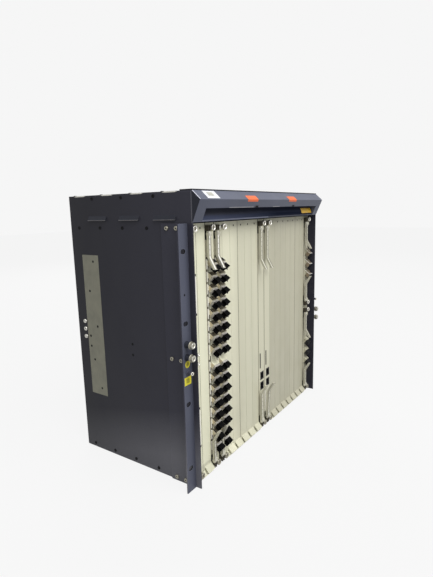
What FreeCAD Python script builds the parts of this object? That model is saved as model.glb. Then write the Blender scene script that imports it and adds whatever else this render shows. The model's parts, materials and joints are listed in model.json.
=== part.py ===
import FreeCAD, Part
import math
import os
import re
import Sketcher

# A ten-unit optical line terminal shelf for a 19-inch rack, in millimetres.
# X runs to the right as seen from the front, Y to the back and Z up. The origin lies under the
# middle of the outline, on the surface that the shelf stands on.

doc = FreeCAD.newDocument("OpticalLineTerminal")

# Driving dimensions, one cell each
SIZES = {
    # Folded sheet shell
    "body_width": 442.0,
    "body_height": 443.7,
    "body_depth": 256.0,
    "wall": 1.5,
    "flange": 10.0,
    "tab_start": 25.0,
    "tab_length": 28.0,
    "tab_pitch": 63.3,
    "tab_clearance": 0.2,
    "louver_start": 28.4,
    "louver_length": 40.6,
    "louver_pitch": 70.4,
    "louver_count": 3,
    "louver_drop": 32.9,
    "louver_height": 7.1,
    "louver_depth": 3.0,
    "louver_sheet": 1.0,
    # Vent fields in the floor and the back
    "floor_vent_length": 150.0,
    "floor_vent_width": 10.0,
    "floor_vent_pitch": 34.0,
    "floor_vent_start": 60.0,
    "rear_vent_width": 16.0,
    "rear_vent_height": 26.0,
    "rear_vent_pitch": 28.0,
    "rear_vent_drop": 10.0,
    # Rack ears and what is bolted to them
    "ear_span": 482.6,
    "ear_height": 399.2,
    "ear_sheet": 2.0,
    "ear_setback": 9.5,
    "ear_leg": 46.0,
    "rack_span": 465.1,
    "rack_outer": 323.85,
    "rack_inner": 120.65,
    "rack_slot_radius": 3.4,
    "rack_slot_length": 10.0,
    # Slots, faceplates and card guides
    "slot_pitch": 22.86,
    "face_setback": 16.0,
    "face_thickness": 2.0,
    "panel_gap": 0.5,
    "seat_gap": 0.2,
    "card_floor": 1.0,
    "hood_clearance": 2.5,
    "split_height": 199.5,
    "guide_seat": 21.0,
    "guide_thickness": 5.0,
    "guide_rail": 3.0,
    "guide_room": 20.0,
    "groove_width": 2.2,
    "groove_depth": 3.0,
    "guide_vent_width": 12.0,
    "guide_vent_margin": 18.0,
    "guide_vent_start": 38.0,
    # Backplane
    "backplane_thickness": 3.0,
    "backplane_margin": 8.0,
    "socket_width": 8.0,
    "socket_height": 260.0,
    "socket_depth": 8.0,
    "socket_start": 50.0,
    # Boards
    "board_thickness": 1.6,
    "board_offset": 9.3,
    "board_gap": 0.3,
    "half_board_margin": 3.0,
    # Blank panels
    "tab_ramp_low": 4.8,
    "tab_ramp_height": 8.8,
    "tab_ramp_reach": 8.0,
    "tab_ramp_width": 17.5,
    "tab_ramp_sheet": 2.0,
    # Ejector levers
    "lever_inset": 15.5,
    "lever_standoff": 5.2,
    "lever_width": 6.2,
    "lever_sheet": 3.4,
    "lever_eye": 3.2,
    "lever_pin": 1.4,
    "lever_pin_clearance": 0.08,
    "lever_side_gap": 0.2,
    "lever_lug_offset": 4.7,
    "lever_lug": 1.4,
    "short_arm": 35.5,
    "long_arm": 55.0,
    "lever_tip": 18.0,
    "lever_tip_reach": 10.0,
    "ajar_angle": 3.0,
    "notch_near": 9.0,
    "notch_height": 16.0,
    "notch_width": 4.2,
    # Angled optical ports
    "port_tilt": 35.0,
    "port_face": 11.0,
    "port_width": 15.2,
    "port_offset": 3.4,
    "port_pitch": 19.05,
    "port_group_gap": 8.5,
    "port_headroom": 45.0,
    "port_low": 34.7,
    "uplink_pitch": 23.0,
    "uplink_count": 3,
    "uplink_upper_drop": 130.0,
    "uplink_lower_low": 66.0,
    "module_width": 13.4,
    "module_height": 8.5,
    "module_depth": 40.0,
    "module_nose": 3.0,
    "uplink_nose": 8.0,
    "module_clearance": 0.2,
    "cap_grip_width": 12.4,
    "cap_grip_height": 9.0,
    "cap_grip": 9.0,
    "cap_notch": 3.3,
    # Sockets and slits of the control cards
    "jack_width": 13.2,
    "jack_height": 15.6,
    "jack_depth": 18.0,
    "jack_upper": 103.5,
    "jack_lower": 83.2,
    "jack_mouth_width": 8.6,
    "jack_mouth_height": 12.0,
    "jack_mouth_depth": 14.0,
    "jack_offset": 2.4,
    "slit_width": 2.0,
    "slit_height": 28.0,
    "slit_low": 120.0,
    "slit_offset": 5.2,
    # Hood and fan tray
    "hood_depth": 14.0,
    "hood_height": 43.2,
    "hood_ridge_drop": 12.5,
    "hood_sheet": 1.6,
    "hood_gap": 0.3,
    "grip_margin": 21.0,
    "grip_rise": 18.5,
    "grip_setback": 5.5,
    "hood_floor": 12.0,
    "tray_gap": 0.5,
    "tray_room": 22.0,
    "tray_sheet": 1.5,
    "tray_side": 22.0,
    "slide_gap": 0.3,
    "fan_size": 119.0,
    "fan_thickness": 25.0,
    "fan_bore": 56.5,
    "fan_window": 112.0,
    "fan_margin": 9.0,
    "fan_count": 3,
    "fan_setback": 120.0,
    "fan_hub": 20.0,
    "fan_base": 4.0,
    "fan_motor": 34.0,
    "fan_strut": 9.0,
    "fan_axle": 2.0,
    "fan_axle_clearance": 0.06,
    "fan_axle_length": 14.0,
    "fan_running_gap": 1.0,
    "fan_tip_gap": 1.5,
    "blade_count": 5,
    "blade_sheet": 1.6,
    "blade_sweep": 24.0,
    "blade_root": 1.0,
}

sheet = doc.addObject("Spreadsheet::Sheet", "Sizes")
for row, (name, number) in enumerate(SIZES.items(), start=1):
    sheet.set(f"A{row}", name)
    sheet.set(f"B{row}", str(number))
    sheet.setAlias(f"B{row}", name)
doc.recompute()

# Places that several pieces share, written in the names of the cells
FRONT = "((hood_depth - body_depth)/2)"
REAR = f"({FRONT} + body_depth)"
FACE = f"({FRONT} + face_setback)"
RAIL = f"({FACE} + face_thickness)"
BACKPLANE = f"({REAR} - guide_room)"
HOOD_FLOOR = "(body_height - hood_height)"
CARD_TOP = f"({HOOD_FLOOR} - hood_clearance)"
EAR_MIDDLE = "(ear_height/2)"
INNER_SIDE = "(body_width/2 - wall)"
LEVER_Y = f"({FACE} - lever_standoff)"
UPPER_SEAT = f"({CARD_TOP} + card_floor - guide_seat)"
BOARD_END = f"({BACKPLANE} - socket_depth - board_gap)"
TURN_TO_PORT = "90 + port_tilt"
TRAY_HALF = f"({INNER_SIDE} - tray_gap)"
FAN_PITCH = f"(2*({TRAY_HALF} - fan_margin)/fan_count)"

BACKWARD = FreeCAD.Vector(0, 1, 0)
ACROSS = FreeCAD.Vector(1, 0, 0)
UP = FreeCAD.Vector(0, 0, 1)
START_RADIUS = 10.0

nodes = {}


def between_walls(pitch):
    """How many of something fit side by side between the walls."""
    return int((SIZES["body_width"] - 2*SIZES["wall"])//SIZES[pitch])


def tabs_along_wall():
    """How many tabs fit along the top edge of a wall."""
    room = SIZES["body_depth"] - SIZES["tab_start"] - SIZES["tab_length"]
    return int(room//SIZES["tab_pitch"]) + 1


def ports_in_group():
    """How many ports of a line card stand one above the other in each of its two groups."""
    card_top = SIZES["body_height"] - SIZES["hood_height"] - SIZES["hood_clearance"]
    room = card_top - SIZES["port_low"] - SIZES["port_headroom"] - SIZES["port_group_gap"]
    return int(room//(2*SIZES["port_pitch"]))


SLOTS = between_walls("slot_pitch")
FLOOR_VENTS = between_walls("floor_vent_pitch")
REAR_VENTS = between_walls("rear_vent_pitch")
TABS = tabs_along_wall()
PORT_ROWS = ports_in_group()


def cell(words):
    """Point each size name in an expression at its cell."""
    return re.sub(r"[a-z_]+", lambda found: f"Sizes.{found[0]}" if found[0] in SIZES else found[0], words)


def slot_x(slot):
    """Middle of a card slot, counted from the left."""
    return f"(({slot} - {SLOTS - 1}/2)*slot_pitch)"


def new_body(label):
    body = doc.addObject("PartDesign::Body", label)
    body.Label = label
    body.AllowCompound = True
    return body


def new_node(label):
    """A body that is handed out as a sub-part of its own."""
    nodes[label] = new_body(label)
    return nodes[label]


def origin_feature(body, role):
    return next(item for item in body.Origin.OriginFeatures if item.Role == role)


def new_sketch(body, plane, at=None):
    """A sketch on an origin plane of its body, moved along the plane's normal."""
    sketch = body.newObject("Sketcher::SketchObject", "Sketch")
    sketch.AttachmentSupport = (origin_feature(body, plane), [""])
    sketch.MapMode = "FlatFace"
    if at is not None:
        sketch.setExpression("AttachmentOffset.Base.z", cell(at))
    return sketch


def side_sketch(body, x="0"):
    """A sketch seen along X, with Y to its right and Z up."""
    return new_sketch(body, "YZ_Plane", x)


def front_sketch(body, y="0"):
    """A sketch seen along Y, with X to its right and Z up. Its normal points forward."""
    return new_sketch(body, "XZ_Plane", f"-({y})")


def flat_sketch(body, z="0"):
    """A sketch seen from above, with X to its right and Y up the page."""
    return new_sketch(body, "XY_Plane", z)


def bind(sketch, kind, geometry, corner, start, words):
    number = sketch.addConstraint(Sketcher.Constraint(kind, -1, 1, geometry, corner, start))
    sketch.setExpression(f"Constraints[{number}]", cell(words))


def outline(sketch, corners):
    """A closed outline of straight lines whose corners follow the sheet."""
    first = sketch.GeometryCount
    count = len(corners)
    turn = 2*math.pi/count
    starts = [
        FreeCAD.Vector(START_RADIUS*math.cos(turn*k), START_RADIUS*math.sin(turn*k), 0)
        for k in range(count)
    ]
    for k in range(count):
        sketch.addGeometry(Part.LineSegment(starts[k], starts[(k + 1) % count]))
    for k in range(count):
        following = first + (k + 1) % count
        sketch.addConstraint(Sketcher.Constraint("Coincident", first + k, 2, following, 1))
    for k, (across, up) in enumerate(corners):
        bind(sketch, "DistanceX", first + k, 1, starts[k].x, across)
        bind(sketch, "DistanceY", first + k, 1, starts[k].y, up)


def rectangle(sketch, left, low, right, high):
    outline(sketch, [(left, low), (right, low), (right, high), (left, high)])


def circle(sketch, across, up, radius):
    number = sketch.addGeometry(Part.Circle(FreeCAD.Vector(0, 0, 0), UP, START_RADIUS))
    limit = sketch.addConstraint(Sketcher.Constraint("Radius", number, START_RADIUS))
    sketch.setExpression(f"Constraints[{limit}]", cell(radius))
    bind(sketch, "DistanceX", number, 3, 0.0, across)
    bind(sketch, "DistanceY", number, 3, 0.0, up)


def pad(body, sketch, length, side="One side", against=False):
    """Raise a sketch along its normal, or against it."""
    feature = body.newObject("PartDesign::Pad", "Pad")
    feature.Profile = sketch
    feature.SideType = side
    feature.Reversed = against
    feature.setExpression("Length", cell(length))
    return feature


def pocket(body, sketch, length, against=False):
    """Cut a sketch to a depth behind its plane, or in front of it."""
    feature = body.newObject("PartDesign::Pocket", "Pocket")
    feature.Profile = sketch
    feature.Reversed = against
    feature.setExpression("Length", cell(length))
    return feature


def cut_through(body, sketch):
    """Cut a sketch through the whole body, both ways from its plane."""
    feature = body.newObject("PartDesign::Pocket", "Cut")
    feature.Profile = sketch
    feature.SideType = "Symmetric"
    feature.Type = "ThroughAll"
    return feature


def repeat(body, features, axis, pitch, count):
    """Repeat features along an axis."""
    pattern = body.newObject("PartDesign::LinearPattern", "Pattern")
    pattern.Originals = features
    pattern.Direction = (origin_feature(body, axis), [""])
    pattern.Mode = "Spacing"
    pattern.setExpression("Offset", cell(pitch))
    pattern.setExpression("Occurrences", cell(str(count)))
    body.Tip = pattern
    return pattern


def place(item, x, y, z):
    """Bind where an object stands to the sheet."""
    for letter, words in zip("xyz", (x, y, z)):
        item.setExpression(f"Placement.Base.{letter}", cell(words))


def copies(master, places, axis=ACROSS, turn="0"):
    """Copies of one master piece, each turned about an axis and set in its place."""
    links = []
    for x, y, z in places:
        link = doc.addObject("App::Link", f"{master.Label}_copy")
        link.LinkedObject = master
        link.Placement = FreeCAD.Placement(FreeCAD.Vector(), FreeCAD.Rotation(axis, 1.0))
        link.setExpression("Placement.Rotation.Angle", cell(turn))
        place(link, x, y, z)
        links.append(link)
    return links


def group(label, links):
    """Separate solids of one kind, handed out as one sub-part."""
    nodes[label] = doc.addObject("Part::Compound", label)
    nodes[label].Label = label
    nodes[label].Links = links


def face_towards(feature, direction):
    """Name of the flat face of a feature that looks in a direction."""
    for number, face in enumerate(feature.Shape.Faces, start=1):
        if face.normalAt(0, 0).isEqual(direction, 1e-6):
            return f"Face{number}"


# Shell: side walls, covers and back

def side_wall(label, side):
    """A flat wall with tabs on its top edge and pressed louvers."""
    body = new_node(label)
    outer = f"{side}*body_width/2"
    inner_edge = "-body_width/2" if side < 0 else INNER_SIDE
    plate = side_sketch(body, inner_edge)
    rectangle(plate, FRONT, "0", REAR, "body_height - wall")
    pad(body, plate, "wall")
    tab = side_sketch(body, inner_edge)
    rectangle(tab, f"{FRONT} + tab_start", "body_height - 2*wall",
              f"{FRONT} + tab_start + tab_length", "body_height")
    repeat(body, [pad(body, tab, "wall")], "Y_Axis", "tab_pitch", TABS)

    louver_top = "(body_height - louver_drop)"
    louver_low = f"({louver_top} - louver_height)"
    scoop = front_sketch(body, f"{FRONT} + louver_start")
    outline(scoop, [
        (outer, louver_top),
        (f"{outer} + {side}*louver_depth", louver_low),
        (outer, louver_low),
    ])
    raised = pad(body, scoop, "louver_length", against=True)
    hollow = front_sketch(body, f"{FRONT} + louver_start + louver_sheet")
    outline(hollow, [
        (f"{outer} - {side}*2*wall", f"{louver_top} - 2*louver_sheet"),
        (outer, f"{louver_top} - 2*louver_sheet"),
        (f"{outer} + {side}*(louver_depth - louver_sheet)", louver_low),
        (f"{outer} - {side}*2*wall", louver_low),
    ])
    opened = pocket(body, hollow, "louver_length - 2*louver_sheet")
    repeat(body, [raised, opened], "Y_Axis", "louver_pitch", "louver_count")


side_wall("left_side_wall", -1)
side_wall("right_side_wall", 1)


def folded_cover(label, half_width, front, low, flange_low, flange_high):
    """A plate with flanges along the inner faces of both walls."""
    body = new_node(label)
    plate = flat_sketch(body, low)
    rectangle(plate, f"-{half_width}", front, half_width, REAR)
    pad(body, plate, "wall")
    flanges = flat_sketch(body, flange_low)
    rectangle(flanges, f"-{INNER_SIDE}", front, f"-{INNER_SIDE} + wall", f"{REAR} - wall")
    rectangle(flanges, f"{INNER_SIDE} - wall", front, INNER_SIDE, f"{REAR} - wall")
    pad(body, flanges, f"{flange_high} - ({flange_low})")
    return body


cover = folded_cover("top_cover", "body_width/2", FRONT, "body_height - wall",
                     "body_height - wall - flange", "body_height - wall")
notches = flat_sketch(cover)
notch_front = f"{FRONT} + tab_start - tab_clearance"
notch_back = f"{FRONT} + tab_start + tab_length + tab_clearance"
notch_inner = f"({INNER_SIDE} - tab_clearance)"
rectangle(notches, "-body_width", notch_front, f"-{notch_inner}", notch_back)
rectangle(notches, notch_inner, notch_front, "body_width", notch_back)
notch = pocket(cover, notches, "body_height + wall", against=True)
repeat(cover, [notch], "Y_Axis", "tab_pitch", TABS)

floor = folded_cover("bottom_plate", INNER_SIDE, RAIL, "0", "wall", "wall + flange")
vents = flat_sketch(floor)
vent_left = f"(-{FLOOR_VENTS - 1}*floor_vent_pitch/2 - floor_vent_width/2)"
vent_front = f"({FRONT} + floor_vent_start)"
rectangle(vents, vent_left, vent_front,
          f"{vent_left} + floor_vent_width", f"{vent_front} + floor_vent_length")
vent_cut = pocket(floor, vents, "wall", against=True)
repeat(floor, [vent_cut], "X_Axis", "floor_vent_pitch", FLOOR_VENTS)

back = new_node("rear_cover")
back_plate = front_sketch(back, REAR)
rectangle(back_plate, f"-{INNER_SIDE}", "wall", INNER_SIDE, "body_height - wall")
pad(back, back_plate, "wall")
grille = front_sketch(back, REAR)
grille_left = f"(-{REAR_VENTS - 1}*rear_vent_pitch/2 - rear_vent_width/2)"
rectangle(grille, grille_left, "body_height - wall - rear_vent_drop - rear_vent_height",
          f"{grille_left} + rear_vent_width", "body_height - wall - rear_vent_drop")
grille_cut = pocket(back, grille, "wall", against=True)
repeat(back, [grille_cut], "X_Axis", "rear_vent_pitch", REAR_VENTS)


# Rack ears, the same folded bracket turned over for the right side

def rack_ear(label, side):
    """A folded ear with its rack slots."""
    body = new_node(label)
    setback = f"({FRONT} + ear_setback)"
    wall_face = f"{side}*body_width/2"
    leg_face = f"({wall_face} + {side}*ear_sheet)"
    tip = f"{side}*ear_span/2"
    profile = flat_sketch(body)
    outline(profile, [
        (wall_face, setback),
        (tip, setback),
        (tip, f"{setback} + ear_sheet"),
        (leg_face, f"{setback} + ear_sheet"),
        (leg_face, f"{setback} + ear_leg"),
        (wall_face, f"{setback} + ear_leg"),
    ])
    pad(body, profile, "ear_height")

    middle = f"{side}*rack_span/2"
    half_slot = "(rack_slot_length/2 - rack_slot_radius)"
    heights = [
        f"({EAR_MIDDLE} {sign} {spacing}/2)"
        for spacing in ("rack_outer", "rack_inner")
        for sign in "-+"
    ]
    for end in "-+":
        rounds = front_sketch(body)
        for height in heights:
            circle(rounds, f"{middle} {end} {half_slot}", height, "rack_slot_radius")
        cut_through(body, rounds)
    straights = front_sketch(body)
    for height in heights:
        rectangle(straights, f"{middle} - {half_slot}", f"{height} - rack_slot_radius",
                  f"{middle} + {half_slot}", f"{height} + rack_slot_radius")
    cut_through(body, straights)


rack_ear("left_ear", -1)
rack_ear("right_ear", 1)


# Card guides, backplane

def card_guide(label, seat, side, flange_end):
    """A grooved plate behind a front rail, with flanges along the side walls."""
    body = new_node(label)
    far = f"({seat} + {side}*guide_thickness)"
    rail_end = CARD_TOP if side > 0 else "wall"
    rail = side_sketch(body, f"-{INNER_SIDE}")
    outline(rail, [
        (RAIL, seat),
        (BACKPLANE, seat),
        (BACKPLANE, far),
        (f"{RAIL} + guide_rail", far),
        (f"{RAIL} + guide_rail", rail_end),
        (RAIL, rail_end),
    ])
    pad(body, rail, f"2*{INNER_SIDE}")
    flange_face = INNER_SIDE if side > 0 else f"({INNER_SIDE} - wall)"
    flanges = front_sketch(body, f"{RAIL} + guide_rail")
    for sign in ("-", ""):
        outline(flanges, [
            (f"{sign}{flange_face}", far),
            (f"{sign}({flange_face} - wall)", far),
            (f"{sign}({flange_face} - wall)", flange_end),
            (f"{sign}{flange_face}", flange_end),
        ])
    pad(body, flanges, f"{BACKPLANE} - {RAIL} - guide_rail", against=True)
    if side < 0:
        relief = front_sketch(body, RAIL)
        for sign in ("-", ""):
            rectangle(relief, f"{sign}{INNER_SIDE} - wall", "0",
                      f"{sign}{INNER_SIDE} + wall", "wall + flange")
        cut_through(body, relief)

    groove = front_sketch(body, RAIL)
    groove_left = f"({slot_x(0)} - board_offset + board_thickness/2 - groove_width/2)"
    groove_end = f"({seat} + {side}*groove_depth)"
    outline(groove, [
        (groove_left, f"{seat} - {side}*groove_depth"),
        (f"{groove_left} + groove_width", f"{seat} - {side}*groove_depth"),
        (f"{groove_left} + groove_width", groove_end),
        (groove_left, groove_end),
    ])
    groove_cut = cut_through(body, groove)
    repeat(body, [groove_cut], "X_Axis", "slot_pitch", SLOTS)
    vents = flat_sketch(body)
    vents_left = f"({slot_x(0)} - guide_vent_width/2 + port_offset)"
    rectangle(vents, vents_left, f"{FRONT} + guide_vent_start",
              f"{vents_left} + guide_vent_width", f"{BACKPLANE} - guide_vent_margin")
    vents_cut = cut_through(body, vents)
    repeat(body, [vents_cut], "X_Axis", "slot_pitch", SLOTS)


HALF_BLANK_SLOT = 0
LEFT_BLANK_SLOT = 1
LINE_SLOTS = (2, 3)
MIDDLE_BLANK_SLOTS = (4, 5)
CONTROL_SLOTS = (9, 10)
UPLINK_SLOT = SLOTS - 1
RIGHT_BLANK_SLOTS = (11, UPLINK_SLOT - 11)

card_guide("upper_card_guide", UPPER_SEAT, 1, f"{HOOD_FLOOR} - slide_gap")
card_guide("lower_card_guide", "guide_seat", -1, "wall")

backplane = new_node("backplane")
backplane_board = front_sketch(backplane, BACKPLANE)
board_edge = f"({INNER_SIDE} - backplane_margin)"
rectangle(backplane_board, f"-{board_edge}", "guide_seat - guide_thickness", board_edge,
          f"{UPPER_SEAT} + guide_thickness")
pad(backplane, backplane_board, "backplane_thickness", against=True)
socket = front_sketch(backplane, BACKPLANE)
socket_left = f"({slot_x(0)} - board_offset + board_thickness/2 - socket_width/2)"
rectangle(socket, socket_left, "socket_start",
          f"{socket_left} + socket_width", "socket_start + socket_height")
socket_pad = pad(backplane, socket, "socket_depth")
repeat(backplane, [socket_pad], "X_Axis", "slot_pitch", SLOTS)


# Blank panels

def panel_edges(slot):
    """Left and right edge of a panel in its slot."""
    middle = slot_x(slot)
    return f"({middle} - slot_pitch/2 + panel_gap/2)", f"({middle} + slot_pitch/2 - panel_gap/2)"


def blank_plate(body, slot, low, high):
    left, right = panel_edges(slot)
    plate = front_sketch(body, FACE)
    rectangle(plate, left, low, right, high)
    return pad(body, plate, "face_thickness", against=True)


def full_blank(body, slot):
    """A blank over the whole height, with a ramp kicked forward at its foot."""
    left, right = panel_edges(slot)
    plate = blank_plate(body, slot, "card_floor", CARD_TOP)
    ramp = side_sketch(body, f"{right} - tab_ramp_width")
    ramp_foot = "(card_floor + tab_ramp_low)"
    outline(ramp, [
        (FACE, f"{ramp_foot} + tab_ramp_height"),
        (f"{FACE} - tab_ramp_reach", ramp_foot),
        (f"{FACE} - tab_ramp_reach + tab_ramp_sheet", ramp_foot),
        (FACE, f"{ramp_foot} + tab_ramp_height - tab_ramp_sheet"),
    ])
    return [plate, pad(body, ramp, "tab_ramp_width")]


SPLIT_ABOVE = "(split_height + panel_gap/2)"
SPLIT_BELOW = "(split_height - panel_gap/2)"

left_blanks = new_node("blank_panels_left")
blank_plate(left_blanks, HALF_BLANK_SLOT, SPLIT_ABOVE, CARD_TOP)
blank_plate(left_blanks, HALF_BLANK_SLOT, "card_floor", SPLIT_BELOW)
full_blank(left_blanks, LEFT_BLANK_SLOT)

for label, (first_slot, count) in (
        ("blank_panels_middle", MIDDLE_BLANK_SLOTS),
        ("blank_panels_right", RIGHT_BLANK_SLOTS)):
    blanks = new_node(label)
    repeat(blanks, full_blank(blanks, first_slot), "X_Axis", "slot_pitch", count)


# Optical modules and their dust caps, drawn pointing up before they are turned into their ports

def module_master(label, nose):
    body = new_body(label)
    block = flat_sketch(body, "-module_depth")
    rectangle(block, "-module_width/2", "-module_height/2", "module_width/2", "module_height/2")
    pad(body, block, f"module_depth + {nose}")
    return body


optical_module = module_master("optical_module_master", "module_nose")
uplink_module = module_master("uplink_module_master", "uplink_nose")

dust_cap = new_body("dust_cap_master")
cap_star = flat_sketch(dust_cap, "module_nose")
outline(cap_star, [
    ("cap_grip_width/2", "cap_grip_height/2"),
    ("0", "cap_grip_height/2 - cap_notch"),
    ("-cap_grip_width/2", "cap_grip_height/2"),
    ("-cap_grip_width/2 + cap_notch", "0"),
    ("-cap_grip_width/2", "-cap_grip_height/2"),
    ("0", "-cap_grip_height/2 + cap_notch"),
    ("cap_grip_width/2", "-cap_grip_height/2"),
    ("cap_grip_width/2 - cap_notch", "0"),
])
pad(dust_cap, cap_star, "cap_grip")


# Cards: a faceplate with its board and ejector levers

def lever_heights(low, high):
    """Pivots of the upper and the lower lever of a card."""
    return f"({high} - lever_inset)", f"({low} + lever_inset)"


def faceplate(label, slot, low, high):
    """The plate of a card, with lever lugs and pins and the notches beside them."""
    body = new_node(label)
    left, right = panel_edges(slot)
    plate = front_sketch(body, FACE)
    rectangle(plate, left, low, right, high)
    pad(body, plate, "face_thickness - seat_gap", against=True)

    lug_side = f"({slot_x(slot)} - lever_lug_offset)"
    lugs = side_sketch(body, lug_side)
    pins = side_sketch(body, lug_side)
    for height in lever_heights(low, high):
        rectangle(lugs, f"{LEVER_Y} - lever_eye", f"{height} - lever_eye", FACE, f"{height} + lever_eye")
        circle(pins, LEVER_Y, height, "lever_pin")
    pad(body, lugs, "lever_lug")
    pad(body, pins, "lever_width + 2*lever_side_gap", against=True)

    cuts = front_sketch(body, FACE)
    for near, far in (
            (f"{high} - notch_near", f"{high} - notch_near - notch_height"),
            (f"{low} + notch_near", f"{low} + notch_near + notch_height")):
        rectangle(cuts, f"{left} - notch_width", near, f"{left} + notch_width", far)
    pocket(body, cuts, "face_thickness")
    return body


def card_board(label, slot, low, high):
    """The circuit board behind a faceplate, its edges in the guide grooves."""
    body = new_node(label)
    outlined = side_sketch(body, f"{slot_x(slot)} - board_offset")
    rectangle(outlined, f"{FACE} + face_thickness - seat_gap", low, BOARD_END, high)
    pad(body, outlined, "board_thickness")


def lever(label, slot, height, side, arm, ajar="0"):
    """A bent ejector lever on its pin. Side is -1 where it hangs and 1 where it stands."""
    body = new_node(label)
    strip = side_sketch(body, "-lever_width")
    outline(strip, [
        ("-lever_eye/2", f"-{side}*lever_eye"),
        ("lever_eye/2", f"-{side}*lever_eye"),
        ("lever_eye", "0"),
        ("lever_sheet/2", f"{side}*2*lever_eye"),
        ("lever_sheet/2", f"{side}*{arm}"),
        ("lever_sheet/2 - lever_tip_reach", f"{side}*({arm} + lever_tip)"),
        ("-lever_sheet/2 - lever_tip_reach", f"{side}*({arm} + lever_tip)"),
        ("-lever_sheet/2", f"{side}*{arm}"),
        ("-lever_sheet/2", f"{side}*2*lever_eye"),
        ("-lever_eye", "0"),
    ])
    pad(body, strip, "lever_width")
    bore = side_sketch(body)
    circle(bore, "0", "0", "lever_pin + lever_pin_clearance")
    cut_through(body, bore)
    body.Placement = FreeCAD.Placement(FreeCAD.Vector(), FreeCAD.Rotation(ACROSS, 1.0))
    body.setExpression("Placement.Rotation.Angle", cell(ajar))
    place(body, f"{slot_x(slot)} - lever_lug_offset - lever_side_gap", LEVER_Y, height)


def card_levers(name, slot, low, high, arm, lower_ajar="0"):
    """The two levers of a card, one at each end."""
    upper, lower = lever_heights(low, high)
    lever(f"{name}_upper_lever", slot, upper, -1, arm)
    lever(f"{name}_lower_lever", slot, lower, 1, arm, lower_ajar)


def port_centre(low):
    """Y and Z of the middle of a port's tilted face, above the foot of its tooth."""
    return (f"({FACE} - port_face/2*sin(port_tilt))", f"({low} + port_face/2*cos(port_tilt))")


def port_teeth(body, slot, low):
    """One tooth of the sawtooth front with its tilted port, ready to be repeated."""
    middle = f"({slot_x(slot)} + port_offset)"
    tooth = side_sketch(body, f"{middle} - port_width/2")
    outline(tooth, [
        (FACE, low),
        (f"{FACE} - port_face*sin(port_tilt)", f"{low} + port_face*cos(port_tilt)"),
        (FACE, f"{low} + port_face/cos(port_tilt)"),
    ])
    features = [pad(body, tooth, "port_width")]
    mouth = flat_sketch(body)
    y, z = port_centre(low)
    mouth.AttachmentOffset = FreeCAD.Placement(FreeCAD.Vector(), FreeCAD.Rotation(ACROSS, 1.0))
    mouth.setExpression("AttachmentOffset.Rotation.Angle", cell(TURN_TO_PORT))
    for letter, words in zip("xyz", (middle, y, z)):
        mouth.setExpression(f"AttachmentOffset.Base.{letter}", cell(words))
    half_width = "(module_width/2 + module_clearance)"
    half_height = "(module_height/2 + module_clearance)"
    rectangle(mouth, f"-{half_width}", f"-{half_height}", half_width, half_height)
    features.append(pocket(body, mouth, "module_depth"))
    return features


def port_places(slot, lows):
    """Where the modules and caps of a card sit, at the middle of each port."""
    return [(f"{slot_x(slot)} + port_offset", *port_centre(low)) for low in lows]


FULL_BOARD = ("guide_seat - groove_depth + board_gap", f"{UPPER_SEAT} + groove_depth - board_gap")

PORT_GROUPS = ("port_low", f"(port_low + {PORT_ROWS}*port_pitch + port_group_gap)")

for number, slot in enumerate(LINE_SLOTS, start=1):
    name = f"line_card_{number}"
    plate = faceplate(f"{name}_faceplate", slot, "card_floor", CARD_TOP)
    for group_low in PORT_GROUPS:
        repeat(plate, port_teeth(plate, slot, group_low), "Z_Axis", "port_pitch", PORT_ROWS)
    card_board(f"{name}_board", slot, *FULL_BOARD)
    ports = port_places(slot, [
        f"({group_low} + {row}*port_pitch)"
        for group_low in PORT_GROUPS
        for row in range(PORT_ROWS)
    ])
    group(f"{name}_modules", copies(optical_module, ports, ACROSS, TURN_TO_PORT))
    group(f"{name}_dust_caps", copies(dust_cap, ports, ACROSS, TURN_TO_PORT))
    card_levers(name, slot, "card_floor", CARD_TOP, "short_arm")

jack = new_body("jack_master")
jack_block = flat_sketch(jack, "-jack_depth")
rectangle(jack_block, "-jack_width/2", "-jack_height/2", "jack_width/2", "jack_height/2")
pad(jack, jack_block, "jack_depth")
jack_mouth = flat_sketch(jack)
rectangle(jack_mouth, "-jack_mouth_width/2", "-jack_mouth_height/2",
          "jack_mouth_width/2", "jack_mouth_height/2")
pocket(jack, jack_mouth, "jack_mouth_depth")

for number, slot in enumerate(CONTROL_SLOTS, start=1):
    name = f"control_card_{number}"
    plate = faceplate(f"{name}_faceplate", slot, "card_floor", CARD_TOP)
    middle = f"({slot_x(slot)} + jack_offset)"
    windows = front_sketch(plate, FACE)
    for height in ("jack_upper", "jack_lower"):
        rectangle(windows, f"{middle} - jack_width/2 - module_clearance",
                  f"{height} - jack_height/2 - module_clearance",
                  f"{middle} + jack_width/2 + module_clearance",
                  f"{height} + jack_height/2 + module_clearance")
    slit = f"({slot_x(slot)} - slit_offset)"
    rectangle(windows, slit, "slit_low", f"{slit} + slit_width", "slit_low + slit_height")
    pocket(plate, windows, "face_thickness")
    card_board(f"{name}_board", slot, *FULL_BOARD)
    jack_places = [(middle, FACE, height) for height in ("jack_upper", "jack_lower")]
    group(f"{name}_jacks", copies(jack, jack_places, ACROSS, "90"))
    card_levers(name, slot, "card_floor", CARD_TOP, "long_arm", "ajar_angle" if number == 2 else "0")

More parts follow.
